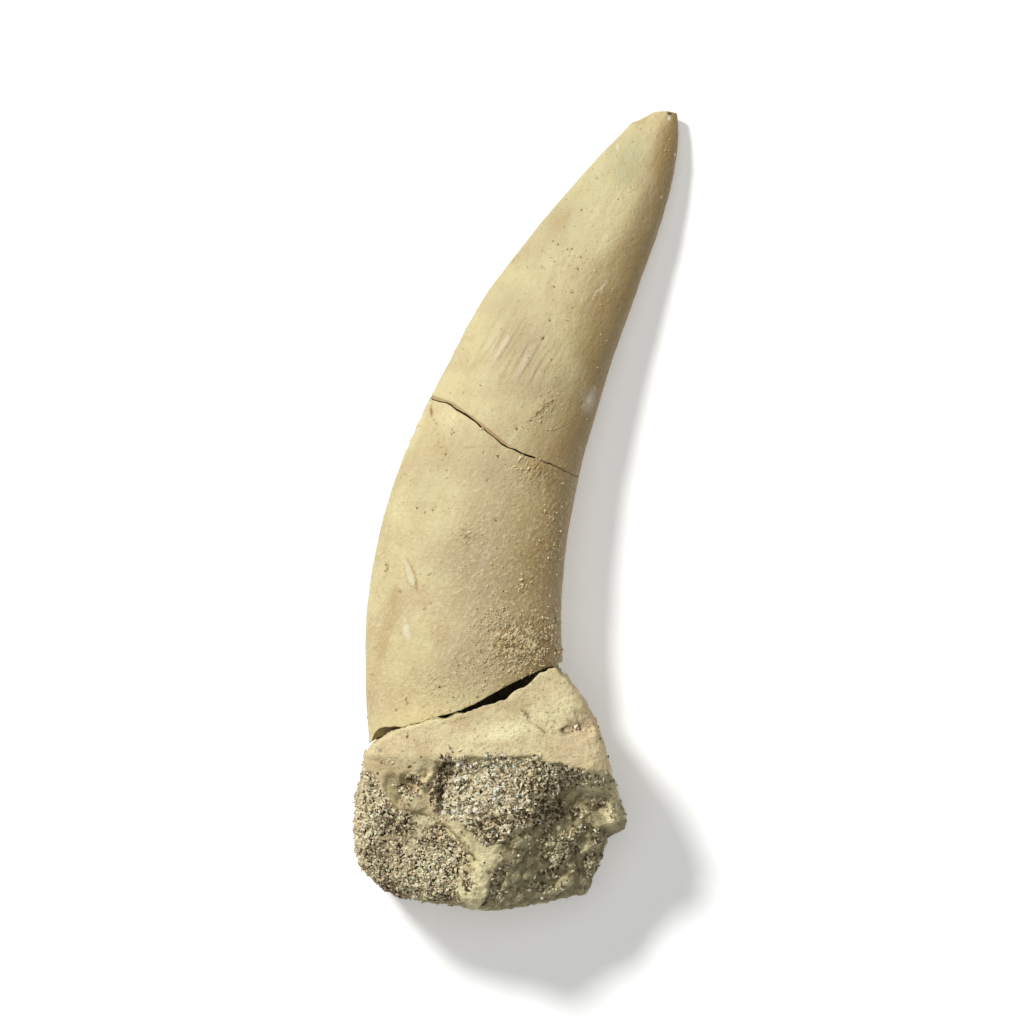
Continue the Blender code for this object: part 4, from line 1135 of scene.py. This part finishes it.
def bone_zones(points, up):
    """Shares of the bone's surface: below the collar, low down, coarse, and at the break under the
    crown.  The last one is above 0 inside that break's hollow and falls with distance from it."""
    x, y, z = points.T
    lower = step_up(5.4 - z + 1.1 * rough(points, 1.7, 27), -0.7, 0.7)
    below = step_up(np.interp(x, *COLLAR_EDGE.T) - y + 0.35 * rough(points, 1.2, 7), -0.1, 0.5)
    off_top = 1 - np.tile(up.ravel(), 2)
    at_break = (step_up(y - np.interp(x, *SHAFT_BREAK.T), -1.6, -0.9) * step_up(x, -8.6, -6.6)
                * step_up(off_top, 0.01, 0.05))
    coarse = np.maximum(below * step_up(x, -6.6, -5.6), lower)
    coarse = np.maximum(coarse, np.maximum(0.5 * step_up(off_top, 0.04, 0.2), 0.8 * at_break))
    oval = (1 - ((x - VOID_MIDDLE[0]) / VOID_HALF[0]) ** 2
            - ((z - VOID_MIDDLE[1]) / VOID_HALF[1]) ** 2 + 0.4 * rough(points, 1.3, 29))
    return below, lower, coarse, at_break, oval


def bone_marks(points, above, below, lower, coarse, crumpled, right):
    """Marks of the bone's colours: olive below the collar and low down, most at the right, darker
    as painted shade in the creases and pale as painted highlight on the crests there."""
    marks = {name: np.clip(patches(points, spots), 0, 1) * above
             for name, spots in BONE_PATCHES.items()}
    marks["olive"] = np.clip(below * (0.12 + 0.88 * right) + 0.6 * lower, 0, 1)
    # Painted highlight: pale on the crests of the crumpled bone.
    deepen(marks, "pale", 0.4 * coarse * step_up(crumpled, 0.6, 1.0))
    marks["olive"] = marks["olive"] * (1 - 0.9 * marks["pale"])
    # Painted shade: the low mark darkens the olive in the hollows of the crumpled bone.
    marks["low"] = (0.1 + 0.9 * step_up(crumpled, 0.6, 0.15)) * marks["olive"]
    return marks


def build_bone(look):
    """The jaw bone: the base's form without the foot of sand, stirred, crumpled where it is coarse,
    pitted by exp(-(apart / radius) ** 2), with a shallow hollow in its break under the crown that is
    drawn near black as painted shade, dirty in its pores and hairlines and under the crusts of sand,
    and dark as painted shade in its creases and at the break."""
    sheets, up = shell_points(BONE_CELLS, BONE_OUTLINE, BONE_MIDDLE, bone_top, base_under,
                              BONE_SIDE, BREAK_PART)
    start = sheets.reshape(-1, 3)
    above = np.repeat([1.0, 0.0], len(start) // 2)
    below, lower, coarse, at_break, oval = bone_zones(start, up)
    gap, number = specks(start, 0.8, 0.34, 23)
    pores = np.exp(-(gap / (0.07 + 0.11 * number)) ** 2)
    cavity = at_break * step_up(oval, 0.0, 0.9)
    crumpled = rubble(stir(start, 0.8, 0.12, 43), 0.75, 47)
    clean = 1 - 0.7 * above * np.clip(patches(start, BONE_PATCHES["pale"]), 0, 1)
    swell = (clean * (0.04 + 0.20 * coarse) * (crumpled - 0.5 - 0.3 * coarse) - 0.13 * pores
             - VOID_DEPTH * cavity)
    points = start + sheet_facing(sheets).reshape(-1, 3) * swell[:, None]
    points = stir(points, 0.4, 0.02 + 0.03 * coarse[:, None], 39)
    right = step_up(start[:, 0] - 0.35 * (start[:, 1] + 25) + 0.8 * noise(points, 1.5, 9),
                    -6.0, -1.0)
    marks = bone_marks(points, above, below, lower, coarse, crumpled, right)
    crust = np.clip(patches(points, BONE_CRUSTS), 0, 1) * sand_clumps(points) * above
    lines = hairlines(points, HAIRLINES["bone"], 0.11) * above
    grime = marks["dirt"] * step_up(noise(points, 0.35, 4), -0.5, 0.4)
    # Painted shade: the hollow in the break is drawn near black.
    marks["void"] = 0.9 * cavity
    # The dirt mark: dirt in the pores, the hairlines and under the crusts; painted shade at the
    # break under the crown and in the deepest creases; the grime carries the dirt patches, some of
    # them painted shade.
    marks["dirt"] = np.clip(0.5 * pores * (0.4 + number) + grime + 0.6 * lines
                            + 0.8 * at_break * step_up(oval, -1.3, 0.4) + 0.7 * crust
                            + 0.45 * step_up(crumpled, 0.28, 0.1) * coarse, 0, 1)
    put_shell("jaw_bone_look", points, shell_faces(BONE_CELLS), fossil_bone(look), "bone",
              "jaw_bone", marks)


def sand_lumps(x, y, z):
    """Low lumps of a mass of sand, other ones for each height z."""
    return 0.12 * rough(flat_places(x, y, z), 1.8, 63)


def foot_top(x, y):
    """Height of the foot's upper side: the base's with lumps, 1 mm lower where bone covers it."""
    return (base_top(x, y) + 0.08 + sand_lumps(x, y, 9.0)
            - 1.0 * step_up(sand_side(x, y), 0.0, 0.40))


def foot_under(x, y):
    """Height of the foot's underside: the base's with lumps, and no lower than the ground."""
    return np.maximum(base_under(x, y) - sand_lumps(x, y, 2.0), 0.0)


def patch_top(x, y):
    """Height of the middle patch: the base's with lumps and a rise, more at the lower right."""
    rise = PATCH_RISE * (0.45 + 0.75 * step_up(0.5 * x - y - 20.5, -1.5, 3.0))
    return base_top(x, y) + rise + sand_lumps(x, y, 5.0)


def patch_under(x, y):
    """Height of the middle patch's underside, which lies inside the bone."""
    return base_top(x, y) - PATCH_DEPTH


# Masses of sand: node, cells, outline, middle, upper side, underside, how far its chips fall for
# each mm from their middles, and how much darker its cement is drawn than the look's, as painted
# shade between the grains.
SAND_MASSES = (
    ("sand_foot", FOOT_CELLS, FOOT_OUTLINE, FOOT_MIDDLE, foot_top, foot_under, 0.35, 0.0),
    ("sand_patch", PATCH_CELLS, PATCH_OUTLINE, PATCH_MIDDLE, patch_top, patch_under, 0.75, 0.8),
)


def build_sand(look):
    """The two masses of sand: the base's form with lumps, over their own outlines, and on it chips
    that each stand at their own height and fall away from their middle."""
    bed = sand_bed(look)
    for node, cells, outline, middle, top, under, deep, dark in SAND_MASSES:
        sheets, _ = shell_points(cells, outline, middle, top, under, SAND_SIDE)
        facing = sheet_facing(sheets).reshape(-1, 3)
        points = stir(sheets.reshape(-1, 3), 0.9, 0.12, 83)
        gap, number = specks(points, 0.34, 1.0, 103)
        bare = np.clip(patches(points, BARE_SPOTS), 0, 1)
        swell = (0.30 * (number - 0.6) - deep * gap) * (1 - 0.8 * bare)
        points = points + facing * swell[:, None]
        # Shade mark: partly darker sand and partly painted shade; dark adds painted shade between
        # the patch's grains.
        shade_there = patches(points, SAND_SHADES) + 0.2 * noise(points, 1.6, 99) + dark
        marks = {"bare": bare, "shade": np.clip(shade_there, 0, 1)}
        put_shell(node + "_cement", points, shell_faces(cells), bed, "sand", node, marks)


def put_grains(name, places, sizes, finish, chance, **marks):
    """Sand grains in one mesh: chips of eight faces, the corners of each at odd distances along
    three axes, stretched and turned its own way, and none of them outside the solids' box."""
    corners = np.concatenate([np.eye(3), -np.eye(3)])
    faces = np.array([(0, 1, 2), (1, 3, 2), (3, 4, 2), (4, 0, 2),
                      (1, 0, 5), (3, 1, 5), (4, 3, 5), (0, 4, 5)])
    count = len(places)
    shape = sizes[:, None] * chance.uniform(0.75, 1.25, (count, 3)) * (1.65, 1.05, 0.85)
    w, x, y, z = chance.normal(size=(4, count))
    length = np.sqrt(w * w + x * x + y * y + z * z)
    w, x, y, z = w / length, x / length, y / length, z / length
    spin = np.stack([
        np.stack([1 - 2 * (y * y + z * z), 2 * (x * y - w * z), 2 * (x * z + w * y)], -1),
        np.stack([2 * (x * y + w * z), 1 - 2 * (x * x + z * z), 2 * (y * z - w * x)], -1),
        np.stack([2 * (x * z - w * y), 2 * (y * z + w * x), 1 - 2 * (x * x + y * y)], -1)], -2)
    local = corners[None] * chance.uniform(0.65, 1.25, (count, 6, 1))
    local = (local + chance.uniform(-0.22, 0.22, (count, 6, 3))) * shape[:, None, :]
    points = np.einsum("nij,nkj->nki", spin, local) + places[:, None, :]
    points = inside_box(points)
    all_faces = faces[None] + (np.arange(count) * 6)[:, None, None]
    marks = {mark: np.repeat(values, 6) for mark, values in marks.items()}
    piece = put_mesh(name, points.reshape(-1, 3), [all_faces.reshape(-1, 3)], False, **marks)
    dress(piece, bpy.data.materials[finish], "tooth" if finish == "fossil_dentine" else "sand")


def read_faces(name):
    """Corners of a piece's triangles in millimetres, with the way each faces and its area."""
    mesh = bpy.data.objects[name].data
    points = np.empty(len(mesh.vertices) * 3, dtype=np.float32)
    mesh.vertices.foreach_get("co", points)
    mesh.calc_loop_triangles()
    faces = np.empty(len(mesh.loop_triangles) * 3, dtype=np.int32)
    mesh.loop_triangles.foreach_get("vertices", faces)
    corners = (points.reshape(-1, 3) / MM)[faces.reshape(-1, 3)]
    facing = np.cross(corners[:, 1] - corners[:, 0], corners[:, 2] - corners[:, 0])
    area = np.linalg.norm(facing, axis=1)
    return corners, facing / np.maximum(area, 1e-12)[:, None], area / 2


def read_all(names):
    """What read_faces gives, for several pieces in one."""
    return (np.concatenate(part) for part in zip(*map(read_faces, names)))


def scatter(names, count, thickness, chance):
    """Places on the faces of some pieces, as many to an area as the thickness there asks."""
    corners, facing, area = read_all(names)
    weight = area * thickness(corners.mean(axis=1), facing)
    chosen = chance.choice(len(area), count, p=weight / weight.sum())
    a, b = np.sort(chance.random((2, count)), axis=0)
    share = np.stack([a, b - a, 1 - b], axis=-1)
    return np.einsum("nk,nki->ni", share, corners[chosen]), facing[chosen]


def on_foot(places, facing):
    """How thick grains lie on the foot: thinner underneath, few on the bare spots, and none on its
    top where bone covers it."""
    seen = 0.35 + 0.65 * step_up(facing[:, 2], -0.7, 0.0)
    hidden = step_up(sand_side(places[:, 0], places[:, 1]), 0.0, 0.4) * (places[:, 2] > BASE_Z)
    return seen * (1 - hidden) * (1 - 0.93 * np.clip(patches(places, BARE_SPOTS), 0, 1))


def on_patch(places, facing):
    """How thick grains lie on the middle patch: only where it stands out of the bone."""
    bone = base_top(places[:, 0], places[:, 1])
    return step_up(places[:, 2] - bone, -0.3, -0.1)


def on_bone(places, facing):
    """How thick grains lie on the bone: in clumps on its crusts, on the upper side alone."""
    free = step_up(places[:, 2], 3.0, 4.0) * step_up(facing[:, 2], 0.0, 0.2)
    sandy = step_up(sand_side(places[:, 0], places[:, 1]), -0.3, -0.1)
    crusts = patches(places, BONE_CRUSTS + [BONE_DUSTING])
    return crusts * free * sand_clumps(places) * sandy


def on_crown(places, facing):
    """How thick crumbs lie on the crown: in clumps, on the upper side alone."""
    clumps = step_up(noise(places, 0.55, 67), -0.35, 0.35)
    return patches(places, CROWN_CRUMBS) * step_up(facing[:, 2], 0.0, 0.15) * clumps


def off_break(places, facing):
    """1 on the crown above its broken end."""
    return step_up(places[:, 1], -16.2, -15.8)


# Sand grains: name, the pieces that carry them, how many, how thick they lie, their size as a share
# of the look's, and the lowest and highest tone.
GRAIN_KINDS = (
    ("sand_foot_grains", ["sand_foot_cement"], 19000, on_foot, 0.84, 0.20, 0.92),
    ("sand_patch_grains", ["sand_patch_cement"], 5400, on_patch, 1.0, 0.16, 1.25),
    ("bone_crust_grains", ["jaw_bone_look"], 4200, on_bone, 0.85, -0.1, 0.95),
)


def scatter_sized(names, count, thickness, size, chance):
    """Scattered places, each with its own size near this one and sunk by part of it."""
    places, facing = scatter(names, count, thickness, chance)
    sizes = size * chance.uniform(0.55, 1.35, count)
    return places - facing * (sizes * chance.uniform(-0.7, 0.3, count))[:, None], sizes


def put_crumbs(radius, chance):
    """Crumbs stuck to the crown, in its own colours, drawn paler and pinker as painted light."""
    places, sizes = scatter_sized(CROWN_PIECES, CRUMB_COUNT, on_crown, CRUMB_SHARE * radius, chance)
    marks = crown_marks(places, np.ones(CRUMB_COUNT))
    # Painted light: the crumbs are drawn paler and pinker so that they read light in spite of their
    # shaded sides.
    marks["pale"] = marks["pale"] + 0.22
    marks["pink"] = marks["pink"] + 0.8
    put_grains("crown_crumbs", places, sizes, "fossil_dentine", chance, **marks)


def put_singles(chance):
    """The stones that are placed one by one, and dark dirt in the crown's pits and on it."""
    corners, facing, _ = read_all(["sand_foot_cement", "jaw_bone_look", *CROWN_PIECES])
    middles = corners.mean(axis=1)
    stones, pits = np.array(STONES), np.array(PITS)
    on_stones, in_pits = (np.array([spot_at(middles, facing, x, y)[0] for x, y in spots[:, :2]])
                          for spots in (stones, pits))
    put_grains("single_stones", on_stones, stones[:, 2], "sand_grains", chance, tone=stones[:, 3])
    small, ways = scatter(CROWN_PIECES, SMALL_PITS, off_break, chance)
    spots = np.concatenate([in_pits, small - 0.02 * ways])
    sizes = np.concatenate([0.6 * pits[:, 2], chance.uniform(0.03, 0.06, len(small))])
    put_grains("pit_dirt", spots, sizes, "sand_grains", chance,
               tone=chance.uniform(0.05, 0.35, len(spots)))


def build_grains(look):
    """Scatter the grains, thick on both masses of sand and thin on the bone and the crown, and put
    the single stones and the dirt in the pits in place."""
    sand_grain(look)
    chance = np.random.default_rng(5)
    radius = look.grain_radius / MM
    for name, hosts, count, thickness, share, low, high in GRAIN_KINDS:
        places, sizes = scatter_sized(hosts, count, thickness, share * radius, chance)
        tone = low + (high - low) * chance.beta(1.0, 0.85, count) + 0.12 * noise(places, 1.8, 97)
        # Grains are darker where the sand shades ask: partly darker sand and partly painted shade.
        tone = np.clip(tone - 0.5 * np.clip(patches(places, SAND_SHADES), -0.8, 1), 0.02, high)
        put_grains(name, places, sizes, "sand_grains", chance, tone=tone)
    put_crumbs(radius, chance)
    put_singles(chance)


def shade(name, code, description):
    """A colour that the user can change, given as sRGB hex."""
    return bpy.props.FloatVectorProperty(name=name, description=description, subtype="COLOR",
                                         min=0.0, max=1.0, default=linear(code))


class ToothLook(bpy.types.PropertyGroup):
    """Colours of the crown."""
    cream: shade("Cream", "#d1c492", "Lightest tone of the worn surface")
    tan: shade("Tan", "#c4b184", "Tone of the broad mottles")
    grey: shade("Grey", "#bab387", "Tone of the grey-green areas")
    dull: shade("Dull", "#ae9b74", "Tone of the lower middle")
    warm: shade("Warm", "#ad8f5c", "Tone of the stained areas")
    # Brown is partly stain and partly painted shade on the round side, and painted shade in the
    # grit's gaps.
    brown: shade("Brown", "#a18655", "Tone of the round side")
    # Pink also paints highlight on the grit's ridges and on the crumbs.
    pink: shade("Pink", "#dcca9c", "Tone of the smooth chip under the crack")
    rust: shade("Rust", "#96672f", "Tone of the stain along the crack")
    pale: shade("Pale", "#ece5d0", "Tone of fresh chips and scratches")
    dirt: shade("Dirt", "#4f3c20", "Tone of the dirt in cracks and pits")


class BoneLook(bpy.types.PropertyGroup):
    """Colours of the jaw bone."""
    bone: shade("Bone", "#e1d3a4", "Main tone of the collar")
    bone_tan: shade("Tan", "#cdb78b", "Tone of the mottles")
    bright: shade("Bright", "#f2e8b6", "Tone of the palest bone")
    pink: shade("Pink", "#e0c89f", "Tone of the right side of the collar")
    olive: shade("Olive", "#b8ad86", "Tone below the collar")
    # Painted shade in the low places of the crumpled bone.
    olive_shade: shade("Dark olive", "#918558", "Tone of the low places below the collar")
    grey: shade("Grey", "#989169", "Tone of the smooth hollow and other grey-green places")
    # This tone also paints shade: in the crevices, the creases, at the break and at the lower right.
    dirt: shade("Dirt", "#473820", "Tone of the dirt in pores and crevices")
    # Painted shade: this near black tone stands for the shadow in the hollow under the crown.
    void: shade("Void", "#1e170e", "Tone of the hollow under the crown")


class SandLook(bpy.types.PropertyGroup):
    """Colours and size of the cemented sand."""
    # Painted shade: the dark cement stands for the shade in the gaps between the grains.
    bed_dark: shade("Cement, dark", "#352d1c", "Dark tone of the silt between the grains")
    bed_light: shade("Cement, light", "#9a8d6b", "Light tone of the silt between the grains")
    bare: shade("Bare spots", "#d6caa0", "Tone of the bone that shows through the sand")
    grain_brown: shade("Brown grains", "#54452a", "Tone of the darkest grains")
    grain_dark: shade("Dark grains", "#6d6449", "Tone of the dark grains")
    grain_grey: shade("Grey grains", "#a69b7c", "Tone of the grey grains")
    grain_pink: shade("Pink grains", "#ceb795", "Tone of the pink-brown grains")
    grain_honey: shade("Honey grains", "#d8caa4", "Tone of the commonest grains")
    grain_cream: shade("Cream grains", "#e5deba", "Tone of the light grains")
    grain_white: shade("White grains", "#f0ebd0", "Tone of the few white grains")
    grain_cool: shade("Quartz grains", "#e6e6d8", "Tone of the clearest grains of the patch")
    grain_radius: bpy.props.FloatProperty(name="Grain radius", default=0.130 * MM, unit="LENGTH",
                                          description="Half the width of a usual grain")


class StageLook(bpy.types.PropertyGroup):
    """The floor, the lights and the camera."""
    floor: shade("Floor", "#fafaf8", "Tone of the floor")
    key_power: bpy.props.FloatProperty(name="Key light", default=6.0, unit="POWER",
                                       description="Power of the soft light at the upper left")
    top_power: bpy.props.FloatProperty(name="Top light", default=1.6, unit="POWER",
                                       description="Power of the wide light overhead")
    floor_glow: bpy.props.FloatProperty(name="Floor glow", default=0.25, min=0.0,
                                        description="Light from below, as on a light table")
    camera_height: bpy.props.FloatProperty(name="Camera height", default=1.2, unit="LENGTH",
                                           description="Height of the camera above the floor")


class FOSSIL_OT_crown(bpy.types.Operator):
    """Build both fragments of the crown"""
    bl_idname = "fossil.crown"
    bl_label = "Crown"

    def execute(self, context):
        fossil_dentine(context.scene.fossil_tooth)
        build_tip()
        build_shaft()
        return {"FINISHED"}


class FOSSIL_OT_bone(bpy.types.Operator):
    """Build the jaw bone"""
    bl_idname = "fossil.bone"
    bl_label = "Jaw bone"

    def execute(self, context):
        build_bone(context.scene.fossil_bone)
        return {"FINISHED"}


class FOSSIL_OT_sand(bpy.types.Operator):
    """Build the two masses of cemented sand"""
    bl_idname = "fossil.sand"
    bl_label = "Cemented sand"

    def execute(self, context):
        build_sand(context.scene.fossil_sand)
        return {"FINISHED"}


class FOSSIL_OT_grains(bpy.types.Operator):
    """Scatter the grains on the sand, the bone and the crown"""
    bl_idname = "fossil.grains"
    bl_label = "Grains"

    def execute(self, context):
        build_grains(context.scene.fossil_sand)
        return {"FINISHED"}


class FOSSIL_OT_stage(bpy.types.Operator):
    """Set the pale floor, the soft lights and the camera"""
    bl_idname = "fossil.stage"
    bl_label = "Stage"

    def execute(self, context):
        set_stage(context.scene.fossil_stage)
        return {"FINISHED"}


def put_lamp(name, power, size, toward):
    """A round soft light that looks back at the object from a direction."""
    lamp = bpy.data.objects.new(name, bpy.data.lights.new(name, "AREA"))
    lamp.data.energy, lamp.data.shape, lamp.data.size = power, "DISK", size
    lamp.location = LAMP_DISTANCE * np.array(toward) / np.linalg.norm(toward)
    lamp.rotation_mode = "QUATERNION"
    lamp.rotation_quaternion = lamp.location.to_track_quat("Z", "Y")
    lamp.visible_camera = False
    bpy.context.scene.collection.objects.link(lamp)


def set_stage(look):
    """A plain floor, a soft key light high at the upper left, a wide one overhead, a dim sky and a
    camera that looks straight down, on the photograph's frame at the height BASE_Z."""
    scene = bpy.context.scene
    scene.view_settings.view_transform = "Standard"
    corners = np.array([(-1, -1, 0), (1, -1, 0), (1, 1, 0), (-1, 1, 0)]) * FLOOR_HALF / MM
    floor = put_mesh("floor", corners, [np.array([[0, 1, 2, 3]])], False)
    material, _, shader, _ = new_finish("floor_paper", 0.9, 0.1)
    shader.inputs["Base Color"].default_value = (*look.floor, 1.0)
    shader.inputs["Emission Color"].default_value = (*linear("#ffffff"), 1.0)
    shader.inputs["Emission Strength"].default_value = look.floor_glow
    floor.data.materials.append(material)
    put_lamp("key", look.key_power, KEY_SIZE, KEY_TOWARD)
    put_lamp("overhead", look.top_power, OVERHEAD_SIZE, (0.0, 0.0, 1.0))
    world = bpy.data.worlds.new("studio")
    world.use_nodes = True
    sky = world.node_tree.nodes["Background"]
    sky.inputs["Color"].default_value = (*SKY_TONE, 1.0)
    sky.inputs["Strength"].default_value = SKY_STRENGTH
    scene.world = world
    camera = bpy.data.objects.new("camera", bpy.data.cameras.new("camera"))
    width = PHOTO_WIDTH * PIXEL * MM
    camera.data.lens = camera.data.sensor_width * (look.camera_height - BASE_Z * MM) / width
    middle_x = (PHOTO_WIDTH / 2 - PHOTO_ZERO[0]) * PIXEL * MM
    middle_y = (PHOTO_ZERO[1] - PHOTO_WIDTH / 2) * PIXEL * MM
    camera.location = (middle_x, middle_y, look.camera_height)
    scene.collection.objects.link(camera)
    scene.camera = camera


class FOSSIL_PT_panel(bpy.types.Panel):
    """Lists the steps in the sidebar"""
    bl_idname = "FOSSIL_PT_panel"
    bl_label = "Fossil fish tooth"
    bl_space_type = "VIEW_3D"
    bl_region_type = "UI"
    bl_category = "Fossil"

    def draw(self, context):
        for step in STEPS:
            self.layout.operator(step.bl_idname)


STEPS = (FOSSIL_OT_crown, FOSSIL_OT_bone, FOSSIL_OT_sand, FOSSIL_OT_grains, FOSSIL_OT_stage)
LOOKS = {"fossil_tooth": ToothLook, "fossil_bone": BoneLook, "fossil_sand": SandLook,
         "fossil_stage": StageLook}


def register():
    """Register the classes and hang the looks on the scene."""
    for part in (*LOOKS.values(), *STEPS, FOSSIL_PT_panel):
        bpy.utils.register_class(part)
    for name, group in LOOKS.items():
        setattr(bpy.types.Scene, name, bpy.props.PointerProperty(type=group))


def unregister():
    """Take the looks off the scene and unregister the classes."""
    for name in LOOKS:
        delattr(bpy.types.Scene, name)
    for part in reversed((*LOOKS.values(), *STEPS, FOSSIL_PT_panel)):
        bpy.utils.unregister_class(part)


def main():
    """Build every piece."""
    register()
    for step in STEPS:
        getattr(bpy.ops.fossil, step.bl_idname.split(".")[1])()


if __name__ == "__main__":
    main()
